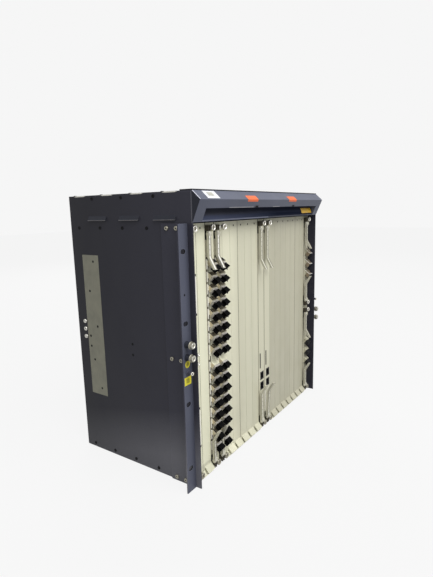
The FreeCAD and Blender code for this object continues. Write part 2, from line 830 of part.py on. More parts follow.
UPLINKS = (
    (SPLIT_ABOVE, CARD_TOP, f"({CARD_TOP} - uplink_upper_drop)",
     f"{SPLIT_ABOVE} + half_board_margin", FULL_BOARD[1]),
    ("card_floor", SPLIT_BELOW, "uplink_lower_low",
     FULL_BOARD[0], f"{SPLIT_BELOW} - half_board_margin"),
)
for number, (low, high, first_port, board_low, board_high) in enumerate(UPLINKS, start=1):
    name = f"uplink_card_{number}"
    plate = faceplate(f"{name}_faceplate", UPLINK_SLOT, low, high)
    tooth = port_teeth(plate, UPLINK_SLOT, first_port)
    repeat(plate, tooth, "Z_Axis", "uplink_pitch", "uplink_count")
    card_board(f"{name}_board", UPLINK_SLOT, board_low, board_high)
    ports = port_places(UPLINK_SLOT, [
        f"({first_port} + {row}*uplink_pitch)" for row in range(int(SIZES["uplink_count"]))
    ])
    group(f"{name}_modules", copies(uplink_module, ports, ACROSS, TURN_TO_PORT))
    card_levers(name, UPLINK_SLOT, low, high, "short_arm")


# Fan tray: hood with a finger grip, tray, fans

hood = new_node("fan_hood")
hood_back = f"({FRONT} - hood_gap)"
ridge_height = "(body_height - hood_ridge_drop)"
slope = "(hood_depth - hood_gap)/(hood_height - hood_ridge_drop)"
lip = f"({HOOD_FLOOR} + grip_rise)"
wedge = side_sketch(hood)
outline(wedge, [
    (hood_back, "body_height"),
    (f"{FRONT} - hood_depth", ridge_height),
    (hood_back, HOOD_FLOOR),
])
wedge_pad = pad(hood, wedge, "body_width", side="Symmetric")
doc.recompute()
shell = hood.newObject("PartDesign::Thickness", "Shell")
shell.Base = (wedge_pad, [face_towards(wedge_pad, BACKWARD)])
shell.Reversed = True
shell.Join = "Intersection"
shell.setExpression("Value", cell("hood_sheet"))
hood.Tip = shell
grip_half = "(body_width/2 - grip_margin)"
window = front_sketch(hood)
rectangle(window, f"-{grip_half}", f"{HOOD_FLOOR} - hood_sheet", grip_half, lip)
cut_through(hood, window)
grip = side_sketch(hood)
outline(grip, [
    (f"{hood_back} - {slope}*grip_rise", lip),
    (f"{FRONT} + grip_setback", lip),
    (hood_back, HOOD_FLOOR),
    (f"{FRONT} + hood_floor", HOOD_FLOOR),
    (f"{FRONT} + hood_floor", f"{HOOD_FLOOR} + hood_sheet"),
    (f"{hood_back} + 2*hood_sheet", f"{HOOD_FLOOR} + hood_sheet"),
    (f"{FRONT} + grip_setback + hood_sheet", f"{lip} + hood_sheet"),
    (f"{hood_back} - {slope}*(grip_rise + hood_sheet)", f"{lip} + hood_sheet"),
])
pad(hood, grip, f"2*({grip_half} + hood_sheet)", side="Symmetric")
for cheek_side in (f"-{grip_half} - hood_sheet", grip_half):
    cheek = side_sketch(hood, cheek_side)
    outline(cheek, [
        (f"{hood_back} - {slope}*grip_rise", lip),
        (f"{FRONT} + grip_setback", lip),
        (hood_back, HOOD_FLOOR),
    ])
    pad(hood, cheek, "hood_sheet")

tray = new_node("fan_tray")
tray_back = f"({REAR} - tray_room)"
tray_front = f"({FRONT} + hood_floor)"
tray_plate = flat_sketch(tray, HOOD_FLOOR)
rectangle(tray_plate, f"-{TRAY_HALF}", tray_front, TRAY_HALF, tray_back)
pad(tray, tray_plate, "tray_sheet")
tray_sides = front_sketch(tray, tray_front)
for sign in ("-", ""):
    outline(tray_sides, [
        (f"{sign}{TRAY_HALF}", HOOD_FLOOR),
        (f"{sign}({TRAY_HALF} - tray_sheet)", HOOD_FLOOR),
        (f"{sign}({TRAY_HALF} - tray_sheet)", f"{HOOD_FLOOR} + tray_side"),
        (f"{sign}{TRAY_HALF}", f"{HOOD_FLOOR} + tray_side"),
    ])
pad(tray, tray_sides, f"{tray_back} - {tray_front}", against=True)


def fan_x(number):
    return f"(({number} - (fan_count - 1)/2)*{FAN_PITCH})"


FAN_Y = f"({FRONT} + fan_setback)"
FAN_Z = f"({HOOD_FLOOR} + tray_sheet)"
FANS = range(int(SIZES["fan_count"]))
windows = flat_sketch(tray)
for fan in FANS:
    rectangle(windows, f"{fan_x(fan)} - fan_window/2", f"{FAN_Y} - fan_window/2",
              f"{fan_x(fan)} + fan_window/2", f"{FAN_Y} + fan_window/2")
cut_through(tray, windows)

housing = new_body("fan_housing_master")
frame = flat_sketch(housing)
rectangle(frame, "-fan_size/2", "-fan_size/2", "fan_size/2", "fan_size/2")
circle(frame, "0", "0", "fan_bore")
pad(housing, frame, "fan_thickness")
for half_length, half_width in (("fan_size/2", "fan_strut/2"), ("fan_motor/2", "fan_motor/2")):
    strut = flat_sketch(housing)
    rectangle(strut, f"-{half_length}", f"-{half_width}", half_length, half_width)
    pad(housing, strut, "fan_base")
axle = flat_sketch(housing, "fan_base")
circle(axle, "0", "0", "fan_axle")
pad(housing, axle, "fan_axle_length")
group("fan_housings", copies(housing, [(fan_x(fan), FAN_Y, FAN_Z) for fan in FANS]))

for fan in FANS:
    rotor = new_node(f"fan_rotor_{fan + 1}")
    rotor_low = "(fan_base + fan_running_gap)"
    rotor_height = "(fan_thickness - fan_base - 2*fan_running_gap)"
    hub = flat_sketch(rotor, rotor_low)
    circle(hub, "0", "0", "fan_hub")
    pad(rotor, hub, rotor_height)
    blade = side_sketch(rotor, "fan_hub - blade_root")
    blade_low = f"({rotor_low} + fan_running_gap)"
    blade_high = f"({rotor_low} + {rotor_height} - fan_running_gap)"
    outline(blade, [
        ("-blade_sweep/2", blade_low),
        ("-blade_sweep/2 + 2*blade_sheet", blade_low),
        ("blade_sweep/2", blade_high),
        ("blade_sweep/2 - 2*blade_sheet", blade_high),
    ])
    blade_pad = pad(rotor, blade, "fan_bore - fan_tip_gap - fan_hub + blade_root")
    ring = rotor.newObject("PartDesign::PolarPattern", "Blades")
    ring.Originals = [blade_pad]
    ring.Axis = (origin_feature(rotor, "Z_Axis"), [""])
    ring.Angle = 360
    ring.setExpression("Occurrences", cell("blade_count"))
    rotor.Tip = ring
    axle_bore = flat_sketch(rotor)
    circle(axle_bore, "0", "0", "fan_axle + fan_axle_clearance")
    pocket(rotor, axle_bore, "fan_base + fan_axle_length + fan_running_gap", against=True)
    place(rotor, fan_x(fan), FAN_Y, FAN_Z)


# Recompute, test every object and write one file for each sub-part
doc.recompute()
for item in doc.Objects:
    if "Invalid" in item.State or "Error" in item.State:
        raise RuntimeError(f"{item.Label} did not build: {item.State}")
for label, item in nodes.items():
    if item.Shape.isNull() or not item.Shape.isValid() or not item.Shape.Solids:
        raise RuntimeError(f"{label} has no valid solid")

os.makedirs("parts", exist_ok=True)
for label, item in nodes.items():
    item.Shape.exportStep(f"parts/{label}.step")
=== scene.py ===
import json
import math

import bmesh
import bpy
from mathutils import Matrix, Vector


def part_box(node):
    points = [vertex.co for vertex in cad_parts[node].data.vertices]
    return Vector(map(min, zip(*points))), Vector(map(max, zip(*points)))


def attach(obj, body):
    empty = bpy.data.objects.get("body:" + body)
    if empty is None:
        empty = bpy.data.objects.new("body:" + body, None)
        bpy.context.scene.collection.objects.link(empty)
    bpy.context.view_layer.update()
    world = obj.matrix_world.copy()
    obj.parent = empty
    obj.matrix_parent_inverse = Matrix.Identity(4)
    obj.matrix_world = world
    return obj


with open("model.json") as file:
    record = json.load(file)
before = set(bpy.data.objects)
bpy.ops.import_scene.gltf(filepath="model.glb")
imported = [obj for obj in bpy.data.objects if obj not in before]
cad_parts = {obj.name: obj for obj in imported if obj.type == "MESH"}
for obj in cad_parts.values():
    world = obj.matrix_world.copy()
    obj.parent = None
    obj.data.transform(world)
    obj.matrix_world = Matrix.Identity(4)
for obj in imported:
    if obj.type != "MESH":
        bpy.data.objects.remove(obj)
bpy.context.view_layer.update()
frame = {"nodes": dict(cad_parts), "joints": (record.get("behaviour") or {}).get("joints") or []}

# An optical line terminal shelf: materials for the solids of the frame, and the small pieces that
# the solids leave out, with painted light and shade in some of both. Lengths are millimetres, but
# metres in materials and on the stage.
MM = 0.001


def at(x=0.0, y=0.0, z=0.0):
    return Vector((x, y, z))


def extent(name):
    """The low and high corners of a node of the frame."""
    return [Vector(corner)/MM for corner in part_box(name)]


# Places read from the frame
SHELL_LOW, SHELL_HIGH = extent("top_cover")
PANEL_LOW, PANEL_HIGH = extent("blank_panels_middle")
HOOD_LOW, HOOD_HIGH = extent("fan_hood")
EAR_LOW, EAR_HIGH = extent("left_ear")
FRONT = SHELL_LOW.y
LEFT_FACE = SHELL_LOW.x
RIGHT_FACE = SHELL_HIGH.x
TOP = SHELL_HIGH.z
PANEL_SHEET = 2.0
FACE = PANEL_HIGH.y - PANEL_SHEET
EAR_FRONT = EAR_LOW.y
EAR_SHEET = 2.0
EAR_MIDDLE = (EAR_LOW.z + EAR_HIGH.z)/2
RACK_X = 232.55

# Slots of the shelf
SLOT_PITCH = 22.86
MIDDLE_SLOT = 9
HALF_BLANK_SLOT = 0
BLANK_SLOTS = (1, 4, 5, 6, 7, 8, 11, 12, 13, 14, 15, 16, 17)
CARD_SLOTS = {
    "line_card_1": 2,
    "line_card_2": 3,
    "control_card_1": 9,
    "control_card_2": 10,
    "uplink_card_1": 18,
    "uplink_card_2": 18,
}
LINE_CARDS = ("line_card_1", "line_card_2")
CONTROL_CARDS = ("control_card_1", "control_card_2")
SCREW_INSET = 7.0
LOW_SCREW_INSET = 9.5


def slot_x(slot):
    return (slot - MIDDLE_SLOT)*SLOT_PITCH


# Materials

def srgb(red, green, blue):
    """A colour given as it looks on a screen, as linear light."""
    def linear(level):
        level /= 255
        return level/12.92 if level <= 0.04045 else ((level + 0.055)/1.055)**2.4
    return (linear(red), linear(green), linear(blue), 1.0)


def tint(colour, factor):
    return tuple(min(1.0, level*factor) for level in colour[:3]) + (1.0,)


def feed(socket, value):
    """Give a socket a constant, or the output of another node."""
    if isinstance(value, bpy.types.NodeSocket):
        socket.id_data.links.new(value, socket)
    else:
        socket.default_value = value


def add_node(tree, kind, inputs=None, **settings):
    """A node with its settings, and what its inputs take."""
    made = tree.nodes.new(kind)
    for name, value in settings.items():
        setattr(made, name, value)
    for name, value in (inputs or {}).items():
        feed(made.inputs[name], value)
    return made


# Sockets for colours on a mix node
MIX_FIRST, MIX_SECOND, MIX_RESULT = 6, 7, 2


class Shader:
    """A Principled material under construction, with short calls for the nodes that it needs."""

    def __init__(self, name, roughness=0.5, metallic=0.0, specular=0.5):
        self.material = bpy.data.materials.new(name)
        self.material.use_nodes = True
        self.tree = self.material.node_tree
        self.inputs = self.tree.nodes["Principled BSDF"].inputs
        feed(self.inputs["Roughness"], roughness)
        feed(self.inputs["Metallic"], metallic)
        feed(self.inputs["Specular IOR Level"], specular)
        self.place = self.node("ShaderNodeTexCoord").outputs["Object"]

    def node(self, kind, inputs=None, **settings):
        return add_node(self.tree, kind, inputs, **settings)

    def stretched(self, scale):
        """Coordinates scaled differently along each axis."""
        return self.node("ShaderNodeMapping", {"Vector": self.place, "Scale": scale}).outputs["Vector"]

    def noise(self, scale, detail=3.0, place=None):
        inputs = {"Vector": place or self.place, "Scale": scale, "Detail": detail}
        return self.node("ShaderNodeTexNoise", inputs).outputs["Fac"]

    def spread(self, factor, low=0.0, high=1.0, start=0.3, end=0.7):
        """Map a factor from start..end to low..high."""
        inputs = {"Value": factor, "From Min": start, "From Max": end, "To Min": low, "To Max": high}
        return self.node("ShaderNodeMapRange", inputs).outputs["Result"]

    def axis(self, vector, name):
        """One coordinate of a vector."""
        return self.node("ShaderNodeSeparateXYZ", {"Vector": vector}).outputs[name]

    def along(self, axis, low, high, start, end):
        """Map a coordinate of the object from start..end to low..high."""
        return self.spread(self.axis(self.place, axis), low, high, start, end)

    def dot(self, first, second):
        made = self.node("ShaderNodeVectorMath", {0: first, 1: second}, operation="DOT_PRODUCT")
        return made.outputs["Value"]

    def mix(self, factor, first, second):
        """A colour between two, each a colour or an output."""
        inputs = {"Factor": factor, MIX_FIRST: first, MIX_SECOND: second}
        return self.node("ShaderNodeMix", inputs, data_type="RGBA").outputs[MIX_RESULT]

    def tones(self, factor, colour, dark, light):
        """A colour that varies between two tones of itself."""
        return self.mix(factor, tint(colour, dark), tint(colour, light))

    def scaled(self, colour, factor):
        """A colour made lighter or darker by a factor."""
        inputs = {0: colour[:3] if isinstance(colour, tuple) else colour, "Scale": factor}
        return self.node("ShaderNodeVectorMath", inputs, operation="SCALE").outputs["Vector"]

    def edges(self, radius):
        """One on sharp edges and zero on flats."""
        rounded = self.node("ShaderNodeBevel", {"Radius": radius}, samples=4)
        flat = self.node("ShaderNodeNewGeometry")
        likeness = self.dot(rounded.outputs["Normal"], flat.outputs["Normal"])
        return self.spread(likeness, 1.0, 0.0, 0.86, 0.99)

    def surface(self, colour, roughness=None, height=None, strength=0.0, depth=0.0):
        """Join up what the surface looks like, and give the finished material."""
        feed(self.inputs["Base Color"], colour)
        if roughness:
            feed(self.inputs["Roughness"], roughness)
        if height:
            inputs = {"Height": height, "Strength": strength, "Distance": depth}
            feed(self.inputs["Normal"], self.node("ShaderNodeBump", inputs).outputs["Normal"])
        return self.material


COAT_SPECULAR = 0.18
ORANGE_PEEL = 1400.0


def coat(shader, colour, rough=0.46, worn=1.6):
    """Powder coat: cloudy tone, fine orange peel, smears, and edges rubbed lighter."""
    clouds = shader.spread(shader.noise(9.0, 4.0), 0.93, 1.07)
    specks = shader.spread(shader.noise(ORANGE_PEEL*0.6, 2.0), 1.0, 1.12, 0.5, 0.8)
    rubbed = shader.spread(shader.edges(0.9*MM), 1.0, worn, 0.0, 1.0)
    for factor in (clouds, specks, rubbed):
        colour = shader.scaled(colour, factor)
    smears = shader.noise(28.0, 5.0, shader.stretched((1.0, 1.0, 0.35)))
    roughness = shader.spread(smears, rough - 0.04, rough + 0.05)
    return shader.surface(colour, roughness, shader.noise(ORANGE_PEEL, 2.0), 0.10, 0.15*MM)


def paint(name, colour, rough=0.46, worn=1.6):
    """Powder coat of one colour."""
    return coat(Shader(name, specular=COAT_SPECULAR), srgb(*colour), rough, worn)


def shell_paint(name, front, side):
    """Powder coat with painted light: darker to the back as painted shade, with a painted sheen on the foot,
    and a lighter front colour on forward-facing faces, painted light, lightest on the outer part of the left
    ear.
    """
    shader = Shader(name, specular=COAT_SPECULAR)
    # Painted sheen: the sides lighten towards the foot, reaching higher at the front.
    dust_and_sheen = shader.spread(shader.dot(shader.place, (0.0, 0.21, 1.0)), 1.0, 0.0, 0.025, 0.10)
    sides = shader.mix(dust_and_sheen, srgb(*side), srgb(108, 108, 114))
    # Painted shade: the sides darken towards the back.
    sides = shader.scaled(sides, shader.along("Y", 1.3, 0.5, -0.12, 0.12))
    # Painted light: forward-facing faces take the lighter front colour, lightest on the outer part of the
    # left ear.
    ahead = shader.scaled(srgb(*front), shader.along("X", 1.0, 0.8, -0.231, -0.224))
    normal = shader.node("ShaderNodeNewGeometry").outputs["True Normal"]
    forward = shader.spread(shader.axis(normal, "Y"), 1.0, 0.0, -0.9, -0.6)
    return coat(shader, shader.mix(forward, sides, ahead))


def grip_paint():
    """Dull paint of the finger grip, navy and darker to the right as painted shade, and a little lighter at
    its top as painted light against the shade of the lip.
    """
    shader = Shader("grip_paint", specular=0.0)
    # Painted light: the colours lighten at the top, in the shade of the lip.
    shade = shader.along("Z", 0.0, 1.0, 0.4075, 0.4105)
    grey = shader.mix(shade, srgb(64, 69, 87), srgb(66, 68, 77))
    navy = shader.mix(shade, srgb(28, 32, 46), srgb(44, 48, 64))
    # Painted shade: the grip darkens to navy towards the right.
    rightward = shader.along("X", 0.0, 1.0, -0.16, 0.04)
    return coat(shader, shader.mix(rightward, grey, navy), 0.5, 1.3)


def panel_paint(name, colour, left_light=1.0, foot_shade=1.0):
    """Beige panel paint with faint vertical streaks and grime, and tones of painted light and shade for the
    left and the foot.
    """
    colour = srgb(*colour)
    shader = Shader(name, specular=0.4)
    streaks = shader.noise(40.0, 3.0, shader.stretched((1.0, 1.0, 0.06)))
    toned = shader.tones(shader.spread(streaks), colour, 0.95, 1.04)
    # Painted light: a tone towards the left end of the panels.
    toned = shader.scaled(toned, shader.along("X", left_light, 1.0, -0.105, -0.08))
    # Painted shade: a tone at the foot of the panels.
    toned = shader.scaled(toned, shader.along("Z", foot_shade, 1.0, 0.018, 0.022))
    grime = shader.spread(shader.noise(14.0, 6.0), 0.0, 0.5, 0.55, 0.8)
    dirty = shader.mix(grime, toned, tint(colour, 0.84))
    rubbed = shader.mix(shader.edges(0.7*MM), dirty, tint(colour, 1.1))
    roughness = shader.spread(shader.noise(30.0, 4.0), 0.40, 0.58)
    return shader.surface(rubbed, roughness, shader.noise(1600.0, 2.0), 0.08, 0.12*MM)


def brushed(name, colour, rough, grain=(1500.0, 1500.0, 40.0), metallic=0.9):
    """Brushed or rolled metal with its grain along one axis."""
    shader = Shader(name, metallic=metallic)
    strokes = shader.noise(1.0, 3.0, shader.stretched(grain))
    toned = shader.tones(shader.spread(strokes), srgb(*colour), 0.82, 1.1)
    return shader.surface(toned, shader.spread(strokes, rough - 0.08, rough + 0.12), strokes, 0.06, 0.1*MM)


def plated(name, colour, rough, grain=700.0):
    """Plated metal with an even grain."""
    return brushed(name, colour, rough, (grain, grain, grain))


def moulded(name, colour, rough, grain=900.0, specular=0.25):
    """Moulded plastic or rubber with a fine texture and dusty patches."""
    shader = Shader(name, specular=specular)
    dust_and_sheen = shader.spread(shader.noise(60.0, 5.0), 0.0, 0.8, 0.45, 0.8)
    dusty = shader.tones(dust_and_sheen, srgb(*colour), 1.0, 1.9)
    roughness = shader.spread(shader.noise(grain*0.3, 2.0), rough - 0.08, rough + 0.12)
    return shader.surface(dusty, roughness, shader.noise(grain, 2.0), 0.12, 0.12*MM)


def laminate(name, colour):
    """Solder mask over copper traces, with rows of pads."""
    colour = srgb(*colour)
    shader = Shader(name, roughness=0.38)
    quarter_turn = (0.0, math.radians(90), 0.0)
    turned = shader.node("ShaderNodeMapping", {"Vector": shader.place, "Rotation": quarter_turn})
    runs = shader.node("ShaderNodeTexBrick", {
        "Vector": turned.outputs["Vector"], "Scale": 60.0, "Mortar Size": 0.012, "Color1": colour,
        "Color2": tint(colour, 1.25), "Mortar": tint(colour, 1.9)}, offset=0.37, squash=1.0)
    pads = shader.node("ShaderNodeTexVoronoi", {"Vector": shader.place, "Scale": 260.0}, feature="F1")
    dots = shader.spread(pads.outputs["Distance"], 1.0, 0.0, 0.10, 0.14)
    traced = shader.mix(dots, runs.outputs["Color"], srgb(196, 160, 96))
    return shader.surface(traced, None, shader.noise(700.0, 2.0), 0.05, 0.1*MM)


def label(name, colour):
    """A printed sticker: a plain field of colour, a little faded and scuffed."""
    colour = srgb(*colour)
    shader = Shader(name)
    fading = shader.noise(90.0, 4.0)
    faded = shader.tones(shader.spread(fading), colour, 0.9, 1.08)
    scuffs = shader.spread(shader.noise(400.0, 6.0), 0.0, 0.5, 0.62, 0.8)
    scuffed = shader.mix(scuffs, faded, tint(colour, 0.7))
    return shader.surface(scuffed, shader.spread(fading, 0.37, 0.55))


def bare_sheet():
    """Unpainted, passivated sheet with blotches and scratches."""
    colour = srgb(128, 127, 112)
    shader = Shader("bare_sheet", metallic=0.35)
    blotches = shader.noise(55.0, 5.0)
    toned = shader.tones(shader.spread(blotches), colour, 0.8, 1.15)
    scratches = shader.noise(1.0, 3.0, shader.stretched((900.0, 900.0, 25.0)))
    scratched = shader.mix(shader.spread(scratches, 0.0, 0.4, 0.55, 0.75), toned, tint(colour, 1.4))
    return shader.surface(scratched, shader.spread(blotches, 0.38, 0.6), scratches, 0.08, 0.1*MM)


MATERIALS = {
    "shell": shell_paint("shell_paint", (62, 62, 70), (52, 52, 61)),
    "ear": shell_paint("ear_paint", (84, 87, 101), (57, 57, 67)),
    # Painted shade on the inner faces of the walls.
    "inner_shade": paint("inner_shade_paint", (48, 48, 58), worn=1.2),
    # Painted highlight on the front edges of the walls.
    "edge": paint("wall_edge_highlight_paint", (96, 96, 103)),
    "hood": paint("hood_paint", (88, 92, 107), 0.42, 1.3),
    # The hood paint darkened, used as painted shade on the hood's ends, the grip's foot, the louver slopes
    # and in the strap socket's bore, and also on the dark spacers of the ground bolts.
    "hood_end": paint("hood_shade_paint", (42, 44, 53)),
    "grip": grip_paint(),
    # Painted highlight on the lower lips of the louvers.
    "hem": paint("louver_lip_highlight_paint", (108, 106, 107)),
    # Painted highlights on the lower edge of the hood's lip.
    "worn": paint("lip_highlight_paint", (164, 164, 170), worn=1.1),
    # Painted highlight on the left edge of the hood's chamfer.
    "rubbed": paint("hood_edge_highlight_paint", (210, 211, 222), worn=1.1),
    # Lit and shaded copies of one panel paint: the lighter near panels and darker far panels are painted
    # light and shade.
    "near_panel": panel_paint("lit_panel_paint", (235, 234, 208), foot_shade=0.76),
    "panel": panel_paint("panel_paint", (209, 207, 184), left_light=1.2),
    "far_panel": panel_paint("shaded_panel_paint", (187, 184, 163)),
    # Painted shade in the gaps beside the cards and between some blank panels.
    "gap_shade": moulded("gap_shade_paint", (128, 121, 104), 0.7),
    "claw": moulded("claw_bronze", (58, 54, 44), 0.5),
    "cheek": moulded("cheek_plastic", (222, 208, 178), 0.6),
    "cage": brushed("cage_steel", (136, 128, 110), 0.5, metallic=0.4),
    "guide": paint("guide_paint", (122, 121, 114), 0.55),
    # Painted shade on the front hem of the top cover.
    "cover": paint("cover_hem_shade_paint", (34, 34, 38), 0.55),
    "tray": brushed("tray_steel", (176, 178, 178), 0.42, (40.0, 1500.0, 1500.0)),
    "lever": brushed("lever_metal", (204, 201, 186), 0.40, metallic=0.25),
    # Painted highlights: bright on the line-card levers and uplink modules, duller on the control levers.
    "bright_highlight": brushed("bright_highlight_metal", (252, 249, 238), 0.34, metallic=0.2),
    "dull_highlight": brushed("dull_highlight_metal", (222, 220, 204), 0.40, metallic=0.2),
    "groove": moulded("groove_shade", (104, 100, 86), 0.6),
    "screw": plated("screw_nickel", (206, 204, 196), 0.30),
    "bright": plated("bright_nickel", (232, 229, 220), 0.28),
    "dull": plated("dull_nickel", (158, 154, 140), 0.42),
    "socket": plated("socket_steel", (146, 141, 124), 0.45),
    "gold": plated("contact_gold", (205, 165, 80), 0.28, 900.0),
    "module": brushed("module_plating", (200, 196, 190), 0.42, metallic=0.5),
    "uplink": brushed("uplink_plating", (150, 136, 118), 0.40, metallic=0.5),
    "cap": moulded("cap_rubber", (8, 8, 9), 0.7, specular=0.06),
    "black": moulded("black_plastic", (30, 30, 32), 0.48),
    "chip": moulded("chip_resin", (38, 38, 40), 0.42, 1400.0),
    "dark": moulded("hole_shadow", (10, 10, 12), 0.8),
    "rim": moulded("rim_plastic", (240, 237, 226), 0.45),
    "board": laminate("board_laminate", (22, 82, 48)),
    "backplane": laminate("backplane_laminate", (20, 62, 40)),
    "bare": bare_sheet(),
    "white_label": label("white_label", (226, 228, 230)),
    "grey_label": label("grey_label", (176, 176, 166)),
    "orange_label": label("orange_label", (236, 106, 46)),
    "yellow_label": label("yellow_label", (226, 214, 58)),
    "olive_label": label("olive_label", (164, 156, 40)),
    "amber_label": label("amber_label", (212, 168, 48)),
}

# The material of each node of the frame, by its whole name or else by the end of its name
NODE_MATERIALS = {
    "left_side_wall": "shell",
    "right_side_wall": "shell",
    "top_cover": "shell",
    "bottom_plate": "shell",
    "rear_cover": "shell",
    "fan_hood": "hood",
    "fan_tray": "tray",
    "fan_housings": "black",
    "fan_rotor_1": "black",
    "fan_rotor_2": "black",
    "fan_rotor_3": "black",
    "backplane": "backplane",
    "blank_panels_left": "near_panel",
    "blank_panels_right": "far_panel",
    "uplink_card_1_faceplate": "far_panel",
    "uplink_card_2_faceplate": "far_panel",
    "uplink_card_1_modules": "uplink",
    "uplink_card_2_modules": "black",
}
ENDING_MATERIALS = (
    ("_ear", "ear"), ("_guide", "guide"), ("_board", "board"), ("_modules", "module"),
    ("_dust_caps", "cap"), ("_lever", "lever"), ("_jacks", "black"), ("", "panel"))
BEVELS = {
    "shell": 0.5,
    "ear": 0.5,
    "hood": 0.9,
    "near_panel": 0.35,
    "panel": 0.35,
    "far_panel": 0.35,
    "lever": 0.5,
    "cap": 0.5,
    "module": 0.4,
    "uplink": 0.4,
}
BEVEL_ANGLE = math.radians(35)


def soften(item, width):
    """Round the sharp edges of an object without touching its mesh."""
    bevel = item.modifiers.new("edges", "BEVEL")
    bevel.width = width*MM
    bevel.segments = 2
    bevel.limit_method = "ANGLE"
    bevel.angle_limit = BEVEL_ANGLE


def dress_nodes():
    for name, item in frame["nodes"].items():
        by_ending = next(material for ending, material in ENDING_MATERIALS if name.endswith(ending))
        key = NODE_MATERIALS.get(name, by_ending)
        item.data.materials.clear()
        item.data.materials.append(MATERIALS[key])
        if key in BEVELS:
            soften(item, BEVELS[key])


dress_nodes()


# Mesh building

def circle(radius, steps):
    """Points round a circle."""
    turns = [2*math.pi*k/steps for k in range(steps)]
    return [(radius*math.cos(turn), radius*math.sin(turn)) for turn in turns]


class Mesh:
    """A mesh under construction, in millimetres, whose faces remember their material."""

    def __init__(self):
        self.bm = bmesh.new()
        self.keys = []

    def points(self, places):
        return [self.bm.verts.new(place*MM) for place in places]

    def faces(self, outlines, key, smooth=False):
        if key not in self.keys:
            self.keys.append(key)
        for outline in outlines:
            face = self.bm.faces.new(outline)
            face.material_index = self.keys.index(key)
            face.smooth = smooth

    def skin(self, loops, key, smooth=False):
        """Join each closed loop of points to the next one."""
        for low, high in zip(loops, loops[1:]):
            self.faces([(low[k - 1], low[k], high[k], high[k - 1]) for k in range(len(low))], key, smooth)

    def slab(self, corners, offset, key):
        """A plate between a flat outline in space and its copy moved by an offset."""
        low, high = self.points(corners), self.points([corner + offset for corner in corners])
        self.faces((low[::-1], high), key)
        self.skin((low, high), key)

    def box(self, low, high, key):
        corners = [at(low[0], y, z) for y, z in (
            (low[1], low[2]), (high[1], low[2]), (high[1], high[2]), (low[1], high[2]))]
        self.slab(corners, at(high[0] - low[0]), key)

    def prism(self, outline, height, frame_of, key, start=0.0):
        """Extrude an outline in a plane of its own along that plane's normal."""
        corners = [frame_of @ at(u, v, start) for u, v in outline]
        self.slab(corners, frame_of.to_3x3() @ at(0.0, 0.0, height), key)

    def lathe(self, profile, frame_of, key, steps=24):
        """Turn a profile of radius and height about a frame's own Z axis, and close its far end."""
        loops = [
            self.points([frame_of @ at(u, v, height) for u, v in circle(radius, steps)])
            for radius, height in profile
        ]
        self.skin(loops, key, True)
        self.faces(loops[-1:], key)

    def disc(self, radius, frame_of, key="dark", steps=20, start=0.0, thick=0.05):
        """A thin round field."""
        self.lathe([(radius, start), (radius, start + thick)], frame_of, key, steps)

    def hoop(self, radius, wire, centre, key, steps=40, sides=6):
        """A level wire hoop."""
        section = [at(radius + u, 0.0, v) for u, v in circle(wire, sides)]
        turns = [Matrix.Rotation(2*math.pi*k/steps, 4, "Z") for k in range(steps)]
        loops = [self.points([centre + turn @ place for place in section]) for turn in turns]
        self.skin(loops + loops[:1], key, True)

    def sheet(self, places, across, key):
        """A strip that follows places, as wide as the vector across."""
        near, far = self.points(places), self.points([place + across for place in places])
        self.faces([(near[k], far[k], far[k + 1], near[k + 1]) for k in range(len(near) - 1)], key)


def add_object(name, data):
    item = bpy.data.objects.new(name, data)
    bpy.context.scene.collection.objects.link(item)
    return item


def finish_piece(name, mesh, body, bevel=None):
    """Turn a mesh into an object that rides on a body."""
    bmesh.ops.recalc_face_normals(mesh.bm, faces=mesh.bm.faces)
    data = bpy.data.meshes.new(name)
    mesh.bm.to_mesh(data)
    mesh.bm.free()
    for key in mesh.keys:
        data.materials.append(MATERIALS[key])
    item = add_object(name, data)
    if bevel:
        soften(item, bevel)
    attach(item, body)


def facing(direction, place):
    """A frame at a place whose Z axis points in a direction."""
    return Matrix.Translation(place) @ direction.to_track_quat("Z", "Y").to_matrix().to_4x4()


FORWARD = at(0.0, -1.0)
BACKWARD = at(0.0, 1.0)
LEFTWARD = at(-1.0)
RIGHTWARD = at(1.0)
UPWARD = at(0.0, 0.0, 1.0)
WALLS = ((LEFT_FACE, LEFTWARD), (RIGHT_FACE, RIGHTWARD))


# Fasteners

def half_disc(radius, start, gap, steps=12):
    """Half of a disc from an angle on, kept half a gap away from the line that bounds it."""
    trim = 0.001
    centre = Vector((math.cos(start + math.pi/2), math.sin(start + math.pi/2)))*gap/2
    turns = [start + trim + (math.pi - 2*trim)*k/steps for k in range(steps + 1)]
    rim = [centre + Vector((math.cos(turn), math.sin(turn)))*(radius - gap/2) for turn in turns]
    return [tuple(point) for point in (centre, *rim)]


def captive_screw(mesh, place, stand=9.2, head=4.7, key="bright"):
    """A captive screw that stands off its panel: ferrule, knurled head and a slotted socket in it."""
    frame_of = facing(FORWARD, place)
    thick, rim, teeth, cut, deep = 5.0, 0.4, 24, 1.0, 1.2
    back, bore, floor = stand - thick, 0.72*head, stand - deep
    ferrule = [(0.66*head, 0.0), (0.66*head, 0.5*back), (0.52*head, 0.5*back + 0.2), (0.52*head, back)]
    mesh.lathe(ferrule, frame_of, "screw")
    profile = [(head - rim, back), (head, back + rim), (head, stand - rim), (head - rim, stand),
               (bore, stand), (bore - 0.2, floor)]
    mesh.lathe(profile, frame_of, key, 28)
    ridge = [(head - 0.1, -0.3), (head + 0.2, 0.0), (head - 0.1, 0.3)]
    for k in range(teeth):
        turned = frame_of @ Matrix.Rotation(2*math.pi*k/teeth, 4, "Z")
        mesh.prism(ridge, thick - 2*rim, turned, "screw", back + rim)
    # Painted shade: a dark disc on the floor of the socket.
    mesh.disc(bore - 0.3, frame_of, start=floor, thick=0.04)
    for start in (0.5*math.pi, 1.5*math.pi):
        mesh.prism(half_disc(bore - 0.4, start, cut), 0.5, frame_of, "socket", floor)


